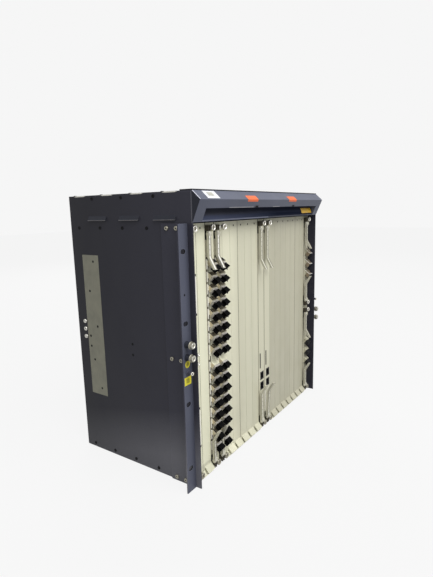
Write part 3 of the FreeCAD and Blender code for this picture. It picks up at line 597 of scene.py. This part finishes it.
def button_head(mesh, place, direction, key, radius, rise=2.4):
    """A domed screw with a round driver recess."""
    frame_of = facing(direction, place)
    recess = 0.42*radius
    profile = [(radius, 0.0), (radius, 0.3*rise), (0.92*radius, 0.7*rise), (0.72*radius, 0.95*rise),
               (0.5*radius, rise), (recess, 0.5*rise)]
    mesh.lathe(profile, frame_of, key, 28)
    # Painted shade: a dark disc in the driver recess.
    mesh.disc(0.98*recess, frame_of, "dark", 16, 0.5*rise, 0.03*rise)


def ground_bolt(mesh, place):
    """A bolt on a dark spacer, with a flanged hexagon head and a dimple in it."""
    frame_of = facing(FORWARD, place)
    mesh.lathe([(5.4, 0.0), (5.4, 0.9), (4.2, 1.1), (4.2, 7.4)], frame_of, "hood_end", 28)
    mesh.lathe([(5.4, 7.4), (5.7, 7.7), (5.7, 8.5), (5.0, 9.0)], frame_of, "dull", 28)
    mesh.prism(circle(5.2, 6), 3.4, frame_of, "dull", 9.0)
    mesh.lathe([(4.4, 12.4), (4.3, 13.0), (3.0, 13.2), (2.4, 12.5)], frame_of, "screw", 28)
    mesh.disc(2.3, frame_of, "socket", start=12.5)


def strap_jack(mesh, place):
    """A tubular socket for a wrist strap, with a bright lip round its bore."""
    frame_of = facing(FORWARD, place)
    mesh.lathe([(3.4, 0.0), (3.4, 0.8), (2.4, 1.0), (2.4, 8.0)], frame_of, "ear")
    lip = [(2.4, 8.0), (2.8, 8.2), (2.8, 9.5), (2.6, 9.8), (2.0, 9.8), (1.9, 8.0)]
    mesh.lathe(lip, frame_of, "bright")
    # Painted shade: a dark disc deep in the bore.
    mesh.disc(1.85, frame_of, "hood_end", 16, 8.0, 0.1)


def blank_holes_and_screws():
    top, bottom, split = PANEL_HIGH.z - SCREW_INSET, PANEL_LOW.z + LOW_SCREW_INSET, 199.5
    screws = Mesh()
    # Painted shade: the lowest screw takes the duller nickel.
    for height, stand, head, key in (
            (top, 9.4, 4.7, "bright"), (bottom, 9.4, 4.7, "dull"),
            (split + SCREW_INSET, 8.0, 2.4, "bright"), (split - SCREW_INSET, 8.0, 2.4, "bright")):
        captive_screw(screws, at(slot_x(HALF_BLANK_SLOT), FACE, height), stand, head, key)
    finish_piece("blank_captive_screws", screws, "chassis")

    # Painted shade: dark discs for the open screw holes of the blank panels.
    holes = Mesh()
    for slot in BLANK_SLOTS:
        holes.disc(1.5, facing(FORWARD, at(slot_x(slot), FACE, top)))
    finish_piece("blank_screw_holes", holes, "chassis")


def half_blank_grips():
    """The pale oblong grip of each half blank, with dark corners of painted shade."""
    half_width, cut, proud = 8.8, 4.6, at(0.0, -0.5)
    left, right = slot_x(HALF_BLANK_SLOT) - half_width, slot_x(HALF_BLANK_SLOT) + half_width
    mesh = Mesh()
    for low, high in ((53.0, 119.0), (263.6, 325.7)):
        outline = ((left, low + cut), (left + cut, low), (right - cut, low), (right, low + cut),
                   (right, high - cut), (right - cut, high), (left + cut, high), (left, high - cut))
        mesh.slab([at(x, FACE, z) for x, z in outline], proud, "rim")
        # Painted shade: a dark triangle in each corner of the grip.
        for x, inward in ((left, cut), (right, -cut)):
            for z, towards in ((low, cut), (high, -cut)):
                corner = ((x, z), (x + inward, z), (x, z + towards))
                mesh.slab([at(u, FACE, v) for u, v in corner], proud, "dark")
    finish_piece("half_blank_grips", mesh, "chassis")


def card_screws():
    stand, loose_stand = 9.2, 14.4
    for card, slot in CARD_SLOTS.items():
        low, high = extent(f"{card}_faceplate")
        screws = Mesh()
        for height in (low.z + LOW_SCREW_INSET, high.z - SCREW_INSET):
            loose = card == "line_card_2" and height > EAR_MIDDLE
            # Painted shade: the screws near the foot take the duller nickel.
            captive_screw(screws, at(slot_x(slot), FACE, height), loose_stand if loose else stand,
                          key="dull" if height < PANEL_LOW.z + SLOT_PITCH else "bright")
        finish_piece(f"{card}_captive_screws", screws, card)


def ear_fasteners():
    bolt_steps, jack_step, hole_step = (30.0, 11.0), 12.0, 101.4
    screws = Mesh()
    for face, outward in WALLS:
        for reach in (27.4, 44.9):
            for step in (-192.9, 0.0, 192.9):
                place = at(face, FRONT + reach, EAR_MIDDLE + step) + outward*EAR_SHEET
                button_head(screws, place, outward, "dull", 3.3)
    finish_piece("ear_screws", screws, "chassis")

    bolts = Mesh()
    for side in (-1, 1):
        for step in bolt_steps:
            ground_bolt(bolts, at(side*RACK_X, EAR_FRONT, EAR_MIDDLE - side*step))
        strap_jack(bolts, at(side*RACK_X, EAR_FRONT, EAR_MIDDLE + side*jack_step))
    finish_piece("ground_bolts", bolts, "chassis", 0.2)

    # Painted shade: a dark disc for a small hole in each ear.
    holes = Mesh()
    for side in (-1, 1):
        holes.disc(1.7, facing(FORWARD, at(side*RACK_X, EAR_FRONT, EAR_MIDDLE - side*hole_step)))
    finish_piece("ear_holes", holes, "chassis")


def slot_linings():
    """The shaded insides of the rack slots, which stay open."""
    radius, half, clear, steps = 3.35, 1.6, 0.05, 24
    mesh = Mesh()
    for side in (-1, 1):
        for step in (-161.925, -60.325, 60.325, 161.925):
            places = []
            for k in range(steps + 1):
                turn = 2*math.pi*k/steps
                across = math.copysign(half, math.cos(turn)) + radius*math.cos(turn)
                places.append(at(side*RACK_X + across, EAR_FRONT + clear,
                                 EAR_MIDDLE + step + radius*math.sin(turn)))
            mesh.sheet(places, at(0.0, EAR_SHEET - 2*clear), "dark")
    finish_piece("rack_slot_linings", mesh, "chassis")


def wall_details():
    """Screws and holes of both walls, and the unpainted patch of the left one."""
    patch_face = LEFT_FACE - 0.12
    patch = Mesh()
    patch.box((patch_face, FRONT + 195.0, 104.8), (LEFT_FACE, FRONT + 233.5, 348.0), "bare")
    finish_piece("bare_patch", patch, "chassis")

    centre, pair = 227.2, (-9.0, 9.0)
    patch_hole, wall_hole, screw, screw_rise = 2.1, 2.3, 2.7, 0.9
    rows = [(208.0, centre + step) for step in (-110.2, 0.0, 110.2)]
    rows += [(221.0, centre + step) for step in (-60.2, 60.2)]
    rows += [(227.0, EAR_MIDDLE + step) for step in pair]
    holes, screws = Mesh(), Mesh()
    for reach, z in rows:
        # Painted shade: dark discs for the holes in the patch.
        holes.disc(patch_hole, facing(LEFTWARD, at(patch_face, FRONT + reach, z)))
    for face, outward in WALLS:
        places = [(69.6 + 65.3*k, TOP - 5.5) for k in range(3)]
        places += [(85.0 + 50.3*k, height) for k in range(4) for height in (392.5, 7.0)]
        for reach, height in places:
            button_head(screws, at(face, FRONT + reach, height), outward, "dark", screw, screw_rise)
        for step in pair:
            # Painted shade: dark discs for the holes in the walls.
            holes.disc(wall_hole, facing(outward, at(face, FRONT + 128.3, EAR_MIDDLE + step)))
    for k in range(3):
        button_head(screws, at(LEFT_FACE, FRONT + 238.0, 206.7 + 13.4*k), LEFTWARD, "screw", 3.7, 2.6)
    finish_piece("wall_holes", holes, "chassis")
    finish_piece("wall_screws", screws, "chassis")


TAB_PITCH = 63.3


def cover_screws():
    """Screws round the rear cover and along the sides of the top cover."""
    low, high = extent("rear_cover")
    inset, rows, columns = 6.0, 5, 6
    width, height = high.x - low.x - 2*inset, high.z - low.z - 2*inset
    places = [(x, low.z + inset + height*k/rows)
              for x in (low.x + inset, high.x - inset) for k in range(rows + 1)]
    places += [(low.x + inset + width*k/columns, low.z + inset) for k in range(1, columns)]
    heads = [(at(x, high.y, z), BACKWARD) for x, z in places]
    heads += [(at(x, FRONT + 57.0 + TAB_PITCH*k, TOP), UPWARD)
              for x in (LEFT_FACE + inset, RIGHT_FACE - inset) for k in range(4)]
    mesh = Mesh()
    for place, outward in heads:
        button_head(mesh, place, outward, "black", 2.6, 1.1)
    finish_piece("cover_screws", mesh, "chassis")


def tab_edges():
    """Bright strips on the edges of the tabs along the top of both walls, painted highlights."""
    taper, length = 5.0, 28.0
    mesh = Mesh()
    for face, outward in WALLS:
        for k in range(4):
            start = FRONT + 25.0 + TAB_PITCH*k
            end = start + length
            outline = ((start, -1.0), (start + taper, -1.7), (end - taper, -1.7),
                       (end, -1.0), (end - taper, 0.1), (start + taper, 0.1))
            mesh.slab([at(face, y, TOP + z) for y, z in outline], outward*0.2, "screw")
    finish_piece("tab_edges", mesh, "chassis")


def louver_lips():
    """Painted highlights on the lower edges of the louvers, and painted shade on the slopes above them."""
    high = TOP - 32.9
    low, reach, lip, proud = high - 7.1, 3.0, 0.9, 0.25
    mesh = Mesh()
    for face, outward in WALLS:
        tip = face + outward.x*reach
        for k in range(3):
            start = FRONT + 28.4 + 70.4*k
            end = start + 40.6
            slope = [at(face, start, high), at(face, end, high), at(tip, end, low), at(tip, start, low)]
            # Painted shade on the slope above the lip.
            mesh.slab(slope, at(outward.x*0.12, 0.0, 0.05), "hood_end")
            # Painted highlight on the lower edge.
            mesh.box((tip + outward.x*proud, start, low),
                     (tip + outward.x*(proud - lip), end, low + lip), "hem")
    finish_piece("louver_lips", mesh, "chassis")


def cover_hem():
    """The folded front hem of the top cover, above the hood, dark with painted shade."""
    mesh = Mesh()
    mesh.box((LEFT_FACE, FRONT - 0.2, TOP), (RIGHT_FACE, FRONT + 21.0, TOP + 1.8), "cover")
    finish_piece("cover_hem", mesh, "chassis", 0.5)


def wall_inner_shades():
    """Painted shade: dark sheets on the inner faces of both walls, in front of the panels."""
    mesh = Mesh()
    for inner, thick in ((extent("left_side_wall")[1].x, 0.15), (extent("right_side_wall")[0].x, -0.15)):
        mesh.box((inner, FRONT + 0.5, PANEL_LOW.z), (inner + thick, FACE, PANEL_HIGH.z), "inner_shade")
    finish_piece("wall_inner_shades", mesh, "chassis")


def wall_edges():
    """Painted highlights on the front edges of both walls, beside the ends of the hood."""
    mesh = Mesh()
    for face, outward in WALLS:
        mesh.box((face, FRONT + 0.4, HOOD_LOW.z - 1.0),
                 (face + outward.x*0.12, FRONT + 2.0, TOP - 1.0), "edge")
    finish_piece("wall_edges", mesh, "chassis")


blank_holes_and_screws()
half_blank_grips()
card_screws()
ear_fasteners()
slot_linings()
wall_details()
cover_screws()
tab_edges()
louver_lips()
cover_hem()
wall_inner_shades()
wall_edges()


# Trim of the hood with its painted shade and highlights, and labels, each a plain field of colour

LABEL_LIFT = 0.15
RIDGE = at(0.0, HOOD_LOW.y, HOOD_HIGH.z - 12.5)
CHAMFER_TOP = at(0.0, FRONT - 0.3, HOOD_HIGH.z)
HOOD_FOOT = at(0.0, FRONT - 0.3, HOOD_LOW.z)
GRIP_TOP = at(0.0, FRONT + 5.5, HOOD_LOW.z + 18.5)
CHAMFER = (CHAMFER_TOP, RIDGE)
HOOD_FRONT = (RIDGE, HOOD_FOOT)
GRIP = (HOOD_FOOT, GRIP_TOP)


def on_hood(line, share):
    """A point part of the way along a line of the hood's profile, moved off its surface."""
    along = line[1] - line[0]
    outward = at(0.0, -along.z, along.y).normalized()
    if outward.y > 0:
        outward.negate()
    return line[0] + along*share + outward*LABEL_LIFT


def hood_strip(mesh, line, shares, left, right, key, shift=at()):
    """A strip across the hood between two points of a line of its profile."""
    mesh.sheet([on_hood(line, share) + at(left) + shift for share in shares], at(right - left), key)


def hood_labels():
    mesh = Mesh()
    hood_strip(mesh, CHAMFER, (0.06, 0.9), -200.0, -170.0, "white_label")
    hood_strip(mesh, CHAMFER, (0.22, 0.62), -193.0, -179.0, "grey_label", at(0.0, -0.1, 0.1))
    fold = RIDGE + FORWARD*LABEL_LIFT*1.2
    for left, right in ((-93.0, -60.0), (57.0, 90.0)):
        strip = (on_hood(CHAMFER, 0.52), fold, on_hood(HOOD_FRONT, 0.11))
        mesh.sheet([place + at(left) for place in strip], at(right - left), "orange_label")
    hood_strip(mesh, GRIP, (0.26, 0.8), 148.0, 198.0, "amber_label", FORWARD*LABEL_LIFT)
    finish_piece("hood_labels", mesh, "fan_tray")


def hood_trim():
    """The ends of the hood and the right half of the hem at the foot of its finger grip in darkened hood
    paint, painted shade; the lining of the grip; pale strips on its edges, painted highlights; and dark
    notches in its lip, painted shade.
    """
    mesh = Mesh()
    # Painted shade: the ends of the hood in the darkened hood paint.
    for end, outward in ((HOOD_LOW.x, LEFTWARD), (HOOD_HIGH.x, RIGHTWARD)):
        profile = [place + at(end) for place in (CHAMFER_TOP, RIDGE, HOOD_FOOT)]
        mesh.slab(profile, outward*0.15, "hood_end")
    # Painted highlight along the left edge of the chamfer.
    hood_strip(mesh, CHAMFER, (0.03, 0.98), HOOD_LOW.x, HOOD_LOW.x + 1.8, "rubbed")

    end_width = 21.2
    left, right = HOOD_LOW.x + end_width, HOOD_HIGH.x - end_width
    hood_strip(mesh, GRIP, (0.02, 0.12), left, 0.0, "hood")
    # Painted shade: the right half of the grip's hem in the darkened hood paint.
    hood_strip(mesh, GRIP, (0.02, 0.12), 0.0, right, "hood_end")
    hood_strip(mesh, GRIP, (0.12, 0.97), left, right, "grip")

    lip = (RIDGE.z - GRIP_TOP.z)/(RIDGE.z - HOOD_FOOT.z)
    # Painted highlights along the lower edge of the lip.
    for left, right in ((-141.0, -68.0), (0.0, 27.5)):
        hood_strip(mesh, HOOD_FRONT, (lip - 0.035, lip), left, right, "worn")
    half_notch, proud = 4.5, at(0.0, -0.3, -0.1)
    # Painted shade: dark notches in the lip.
    for middle in (-58.0, 83.6):
        left, right = middle - half_notch, middle + half_notch
        hood_strip(mesh, HOOD_FRONT, (lip - 0.085, lip), left, right, "dark", proud)
    finish_piece("hood_trim", mesh, "fan_tray")


def ear_labels():
    ring = facing(FORWARD, at(-231.6, EAR_FRONT, 200.0))
    face = EAR_FRONT - LABEL_LIFT
    mesh = Mesh()
    mesh.disc(5.3, ring, "yellow_label", 28, thick=LABEL_LIFT)
    mesh.disc(3.0, ring, "olive_label", 28, LABEL_LIFT)
    mesh.box((-239.7, face, 169.2), (-224.6, EAR_FRONT, 181.2), "yellow_label")
    mesh.box((-235.6, face - 0.05, 172.0), (-228.4, face, 178.6), "olive_label")
    finish_piece("ear_labels", mesh, "chassis")


hood_labels()
hood_trim()
ear_labels()


# Details of the cards

PORT_ROWS = [34.7 + 160.9*group + 19.05*row for group in range(2) for row in range(8)]
UPLINK_ROWS = [268.0 + 23.0*row for row in range(3)]
TOOTH_LEFT, TOOTH_RIGHT = -4.2, 11.0
PORT_TILT = math.radians(35)
TOOTH_SLOPE = 11.0
TOOTH_REACH = TOOTH_SLOPE*math.sin(PORT_TILT)
TOOTH_RISE = TOOTH_SLOPE*math.cos(PORT_TILT)
TOOTH_TOP = TOOTH_RISE + TOOTH_REACH*math.tan(PORT_TILT)
PORT_OUT = at(0.0, -math.cos(PORT_TILT), -math.sin(PORT_TILT))
PORT_UP = at(0.0, -math.sin(PORT_TILT), math.cos(PORT_TILT))
AJAR_LEVER = "control_card_2_lower_lever"


def lever_pivots(card=""):
    """The levers of a card, or of all cards, with the places of their pivots and which way they point."""
    for joint in frame["joints"]:
        node = joint["name"].removesuffix("_pivot")
        if node.startswith(card) and node.endswith("_lever"):
            yield node, Vector(joint["pos_m"])/MM, -1 if node.endswith("upper_lever") else 1


def port_rims():
    """The pale segmented rim beside the ports of a line card."""
    for card in LINE_CARDS:
        left = extent(f"{card}_faceplate")[0].x
        start, end = left + 0.9, left + 2.3
        mesh = Mesh()
        for low in PORT_ROWS:
            mesh.box((start, FACE - 2.0, low), (end, FACE, low + 15.0), "rim")
            mesh.box((start, FACE - 1.2, low + 15.4), (end, FACE, low + 18.6), "claw")
        finish_piece(f"{card}_rim", mesh, card, 0.3)


def port_cheeks():
    """The side of each tooth of the line cards, and a dark strip above it, painted shade."""
    cheek = ((0.0, 0.6), (5.9, 9.0), (0.0, 12.8))
    for card in LINE_CARDS:
        side = slot_x(CARD_SLOTS[card]) + TOOTH_LEFT
        mesh = Mesh()
        for low in PORT_ROWS:
            mesh.slab([at(side, FACE - reach, low + rise) for reach, rise in cheek], at(-0.2), "cheek")
            # Painted shade: a dark strip above the tooth.
            mesh.box((side - 2.4, FACE - 0.15, low + TOOTH_TOP),
                     (side - 0.3, FACE, low + TOOTH_TOP + 10.5), "dark")
        finish_piece(f"{card}_port_cheeks", mesh, card)


def port_hoods():
    """The plate on the upper slope of a tooth, with a black strip on its left as painted shade, or a bright
    one as a painted highlight on the uplink card.
    """
    for card, lows, joint in (
            ("line_card_1", PORT_ROWS, "dark"), ("line_card_2", PORT_ROWS, "dark"),
            ("uplink_card_1", UPLINK_ROWS, "bright_highlight")):
        middle = slot_x(CARD_SLOTS[card])
        mesh = Mesh()
        for low in lows:
            if low == PORT_ROWS[7]:
                continue
            plate = "dark" if low == PORT_ROWS[-1] else "cage"
            # The strip on the left of each plate is black as painted shade, or bright on the uplink card as
            # a painted highlight.
            for left, right, lift, key in (
                    (TOOTH_LEFT, TOOTH_RIGHT, 0.2, plate), (TOOTH_LEFT - 0.2, TOOTH_LEFT + 1.3, 0.4, joint)):
                outer = at(middle + left, FACE - TOOTH_REACH, low + TOOTH_RISE)
                inner = at(middle + left, FACE, low + TOOTH_TOP)
                across = at(right - left)
                mesh.slab((outer, outer + across, inner + across, inner), PORT_UP*lift, key)
        finish_piece(f"{card}_port_hoods", mesh, card)


def uplink_noses():
    """Bright lips as painted highlights, and black faces as painted shade, on the modules in the upper
    uplink card.
    """
    half_width, half_height, nose, lip = 6.7, 4.25, 8.0, 1.4
    left = slot_x(CARD_SLOTS["uplink_card_1"]) + 3.4 - half_width
    across = at(2*half_width)
    mesh = Mesh()
    for low in UPLINK_ROWS:
        port = at(left, FACE - TOOTH_REACH/2, low + TOOTH_RISE/2)
        top, end = port + PORT_UP*half_height, port + PORT_OUT*nose
        # Painted highlights on the lips of the modules.
        for start, width in ((nose - lip, across), (0.0, across*0.16)):
            near, far = top + PORT_OUT*start, top + PORT_OUT*nose
            mesh.slab((near, near + width, far + width, far), PORT_UP*0.2, "bright_highlight")
        # Painted shade: a black face at the end of each module.
        under, over = end - PORT_UP*half_height, end + PORT_UP*half_height
        mesh.slab((under, under + across, over + across, over), PORT_OUT*0.15, "dark")
    finish_piece("uplink_card_1_noses", mesh, "uplink_card_1")


def lever_rails():
    """The raised left edge of each lever, with dimples, and the dark groove along its right edge: the edge
    is a painted highlight on the control levers and the upper levers of the line cards, and the groove and
    dimples are painted shade.
    """
    sunk, front = 0.4, -1.7
    tip_rise, tip_reach, dimple_pitch = 18.0, 10.0, 8
    for node, pivot, along in lever_pivots():
        low, high = extent(node)
        ajar = node == AJAR_LEVER
        turn = Matrix.Rotation(math.radians(3.0 if ajar else 0.0), 4, "X")
        bend = max(pivot.z - low.z, high.z - pivot.z) - tip_rise - (1.0 if ajar else 0.4)
        outward = at(0.0, -tip_rise, -along*tip_reach).normalized()
        foot, knee = at(0.0, front, along*3.4), at(0.0, front, along*bend)
        tip = knee + at(0.0, -tip_reach, along*tip_rise)*0.97
        # Painted highlight: the raised edge is lighter than the lever on the control levers and the upper
        # levers of the line cards.
        edge = "dull_highlight" if node.startswith("control_") else "lever"
        if node.startswith("line_") and along < 0:
            edge = "bright_highlight"
        mesh = Mesh()
        # The edge strip, lighter where it takes a highlight colour, and the groove, darker as painted shade.
        for left, width, proud, key in ((low.x, 2.4, 0.7, edge), (high.x - 1.0, 1.0, 0.1, "groove")):
            for first, second, rise in ((foot, knee, FORWARD), (knee, tip, outward)):
                corners = (first - rise*sunk, second - rise*sunk, second + rise*proud, first + rise*proud)
                placed = [pivot + turn @ (corner + at(left - pivot.x)) for corner in corners]
                mesh.slab(placed, at(width), key)
        # Painted shade in the dimples.
        for reach in range(dimple_pitch, int(bend) - 2, dimple_pitch):
            place = pivot + turn @ at(low.x + 1.2 - pivot.x, front - 0.7, along*reach)
            mesh.disc(0.7, facing(turn @ FORWARD, place), "groove", 12)
        finish_piece(f"{node}_rails", mesh, node)


# Notches of a faceplate beside its levers, from its lower and its upper end
NOTCH_START, NOTCH_END = 9.0, 25.0


def notch_shades():
    """Painted shade: dark plates in the notches beside the levers and in the slits of the control cards."""
    near, far, seal = FACE + 0.1, FACE + 1.6, 4.2
    slit_low, slit_high, rim, rim_end = 120.0, 148.0, 0.7, 0.6
    for card, slot in CARD_SLOTS.items():
        low, high = extent(f"{card}_faceplate")
        mesh = Mesh()
        for start in (low.z + NOTCH_START, high.z - NOTCH_END):
            mesh.box((low.x, near, start), (low.x + seal, far, start + NOTCH_END - NOTCH_START), "dark")
        if card in CONTROL_CARDS:
            left, right = slot_x(slot) - 5.2, slot_x(slot) - 3.2
            mesh.box((left, near, slit_low), (right, far, slit_high), "dark")
            mesh.box((left - rim, FACE - 0.1, slit_low - rim_end),
                     (right + rim, FACE, slit_high + rim_end), "dark")
        finish_piece(f"{card}_notch_shades", mesh, card)


def card_seams():
    """Painted shade in the gap along the left edge of each card, darker beyond the notches for its levers.
    """
    for card in CARD_SLOTS:
        low, high = extent(f"{card}_faceplate")
        mesh = Mesh()
        for start, end, key in (
                (low.z, low.z + NOTCH_START, "claw"),
                (low.z + NOTCH_END, high.z - NOTCH_END, "gap_shade"),
                (high.z - NOTCH_START, high.z, "claw")):
            mesh.box((low.x - 0.15, FACE - 0.2, start), (low.x + 1.1, FACE, end), key)
        finish_piece(f"{card}_seam", mesh, card)


def panel_seams():
    """Painted shade in the wider gaps between blank panels."""
    mesh = Mesh()
    for slot, width in ((1, 0.8), (6, 1.3), (16, 1.3)):
        left = slot_x(slot) - SLOT_PITCH/2 - 0.15
        mesh.box((left, FACE - 0.04, PANEL_LOW.z), (left + width, FACE + 1.0, PANEL_HIGH.z), "gap_shade")
    finish_piece("panel_seams", mesh, "chassis")


def lever_claws():
    """The forked brackets beyond the pivots of the levers."""
    start, end = 3.8, 12.0
    for card in CARD_SLOTS:
        mesh = Mesh()
        for _, pivot, along in lever_pivots(card):
            near, far = pivot.z - along*start, pivot.z - along*end
            for left, right, reach in ((-2.9, -1.1, 7.0), (1.2, 3.0, 7.0), (-1.1, 1.2, 2.6)):
                mesh.box((pivot.x + left, FACE - reach, near), (pivot.x + right, FACE, far), "claw")
        finish_piece(f"{card}_claws", mesh, card, 0.4)


def control_rim():
    """A pale strip along the lower left edge of the second control card."""
    left = extent("control_card_2_faceplate")[0].x
    mesh = Mesh()
    mesh.box((left, FACE - 2.4, 27.0), (left + 1.3, FACE, 76.0), "rim")
    finish_piece("control_card_2_rim", mesh, "control_card_2", 0.3)


def panel_skirts():
    """The sloping foot of each blank panel, behind its ramp."""
    foot, half = 1.1, SLOT_PITCH/2 - 0.3
    mesh = Mesh()
    for slot in (HALF_BLANK_SLOT,) + BLANK_SLOTS:
        profile = ((FACE, 8.5), (FACE - 4.6, foot), (FACE, foot))
        mesh.slab([at(slot_x(slot) - half, y, z) for y, z in profile], at(2*half), "panel")
    finish_piece("panel_skirts", mesh, "chassis")


def socket_contacts():
    """Contact springs in the mouths of the network sockets."""
    count, pitch, half = 8, 1.02, 0.2
    for card in CONTROL_CARDS:
        middle = slot_x(CARD_SLOTS[card]) + 2.4
        mesh = Mesh()
        for height in (103.5, 83.2):
            for k in range(count):
                z = height + (k - (count - 1)/2)*pitch
                mesh.box((middle - 4.2, FACE + 2.0, z - half), (middle - 2.4, FACE + 12.0, z + half), "gold")
        finish_piece(f"{card}_contacts", mesh, card)


def lever_rivets():
    """Rivet heads on the ends of the lever pins."""
    pin = 3.3
    for card in CARD_SLOTS:
        mesh = Mesh()
        for _, pivot, _ in lever_pivots(card):
            head = facing(LEFTWARD, pivot + LEFTWARD*pin)
            mesh.lathe([(2.3, 0.0), (2.1, 0.25), (1.2, 0.45)], head, "screw", 20)
        finish_piece(f"{card}_rivets", mesh, card)


def board_parts():
    """Chips, heat sinks, capacitors and the plug that fits the backplane, on each board."""
    first, pitch, room, chip_rise = 34.0, 56.0, 58.0, 2.2
    fins, fin_pitch, fin_sheet, fin_top = 7, 4.2, 1.2, 9.0
    for card in CARD_SLOTS:
        low, high = extent(f"{card}_board")
        side = high.x
        mesh = Mesh()
        for k in range(int((high.z - low.z)/room)):
            z = low.z + first + pitch*k
            y, size = (-2.0, 30.0) if k % 2 else (-34.0, 24.0)
            mesh.box((side, y, z), (side + chip_rise, y + size, z + size), "chip")
            if k % 2:
                for fin in range(fins):
                    start = y + 1.0 + fin*fin_pitch
                    mesh.box((side + chip_rise, start, z + 1.0),
                             (side + fin_top, start + fin_sheet, z + size - 1.0), "tray")
            for row in range(3):
                capacitor = facing(RIGHTWARD, at(side, 52.0, z + 9.0*row))
                mesh.lathe([(3.1, 0.0), (3.1, 6.5), (2.8, 7.0)], capacitor, "tray", 18)
            for row in range(4):
                start = z + 6.0*row
                mesh.box((side, 74.0, start), (side + 1.0, 82.0, start + 3.2), "chip")
        mesh.box((side, high.y - 14.0, low.z + 40.0), (side + 6.0, high.y - 1.0, high.z - 40.0), "rim")
        finish_piece(f"{card}_components", mesh, card, 0.25)


port_rims()
port_cheeks()
port_hoods()
uplink_noses()
lever_rails()
notch_shades()
card_seams()
panel_seams()
lever_claws()
control_rim()
panel_skirts()
socket_contacts()
lever_rivets()
board_parts()


def fan_guards():
    """Wire finger guards on the three fans."""
    low, high = extent("fan_housings")
    wire, pitch, hub, spoke = 0.8, 140.0, 12.0, 60.0
    mesh = Mesh()
    for k in range(3):
        centre = at((k - 1)*pitch, (low.y + high.y)/2, high.z + 1.2)
        for radius in (14.0, 26.0, 38.0, 50.0):
            mesh.hoop(radius, wire, centre, "screw")
        for turn in range(4):
            turned = Matrix.Translation(centre) @ Matrix.Rotation(math.pi/4 + math.pi/2*turn, 4, "Z")
            frame_of = turned @ facing(RIGHTWARD, at(hub, 0.0, -wire))
            mesh.lathe([(wire, 0.0), (wire, spoke)], frame_of, "screw", 8)
    finish_piece("fan_guards", mesh, "fan_tray")


fan_guards()


# Stage, lights and camera, in metres

WHITE = (1.0, 1.0, 1.0, 1.0)
TARGET = (0.0, 0.0, 0.22)


def show(tree, lit, shown, share, output):
    """Show a shader by a share, directly, in reflections and through glass, while another one lights."""
    path = add_node(tree, "ShaderNodeLightPath").outputs
    seen = path["Is Camera Ray"]
    for value, operation in (
            (path["Is Glossy Ray"], "MAXIMUM"), (path["Is Transmission Ray"], "MAXIMUM"),
            (share, "MULTIPLY")):
        seen = add_node(tree, "ShaderNodeMath", {0: seen, 1: value}, operation=operation).outputs["Value"]
    blend = add_node(tree, "ShaderNodeMixShader", {"Fac": seen, 1: lit.outputs[0], 2: shown.outputs[0]})
    feed(tree.nodes[output].inputs["Surface"], blend.outputs["Shader"])


def studio_floor():
    size = 8.0
    data = bpy.data.meshes.new("studio_floor")
    corners = [(-size, -size, 0), (size, -size, 0), (size, size, 0), (-size, size, 0)]
    data.from_pydata(corners, [], [(0, 1, 2, 3)])
    shader = Shader("studio_floor", roughness=0.9)
    feed(shader.inputs["Base Color"], srgb(168, 168, 168))
    glow = shader.node("ShaderNodeEmission", {"Color": WHITE})
    show(shader.tree, shader.tree.nodes["Principled BSDF"], glow, 0.88, "Material Output")
    data.materials.append(shader.material)
    add_object("studio_floor", data)


def studio_world():
    world = bpy.data.worlds.new("studio")
    world.use_nodes = True
    tree = world.node_tree
    fill = tree.nodes["Background"]
    feed(fill.inputs["Color"], WHITE)
    feed(fill.inputs["Strength"], 0.34)
    backdrop = add_node(tree, "ShaderNodeBackground", {"Color": srgb(246, 246, 246)})
    show(tree, fill, backdrop, 1.0, "World Output")
    bpy.context.scene.world = world


def area_light(name, place, size, power):
    data = bpy.data.lights.new(name, "AREA")
    data.size = size
    data.energy = power
    lamp = add_object(name, data)
    lamp.location = place
    lamp.rotation_euler = (Vector(TARGET) - Vector(place)).to_track_quat("-Z", "Y").to_euler()


def photo_camera():
    """The camera of the photograph: where it stood, which way it looked and how it was tilted."""
    place = (-0.7042, -0.4880, 0.4176)
    heading, pitch, roll = math.radians(55.64), math.radians(-10.2), math.radians(-1.42)
    data = bpy.data.cameras.new("photo_camera")
    data.sensor_width = 36.0
    data.lens = 27.55
    camera = add_object("photo_camera", data)
    turn = Matrix.Rotation(-heading, 4, "Z") @ Matrix.Rotation(math.pi/2 + pitch, 4, "X")
    camera.matrix_world = Matrix.Translation(place) @ turn @ Matrix.Rotation(roll, 4, "Z")
    bpy.context.scene.camera = camera


studio_floor()
studio_world()
area_light("key", (-0.35, -1.35, 1.95), 1.9, 53.0)
area_light("back", (1.6, 1.8, 1.6), 1.6, 30.0)
photo_camera()

bpy.context.scene.view_settings.view_transform = "Standard"
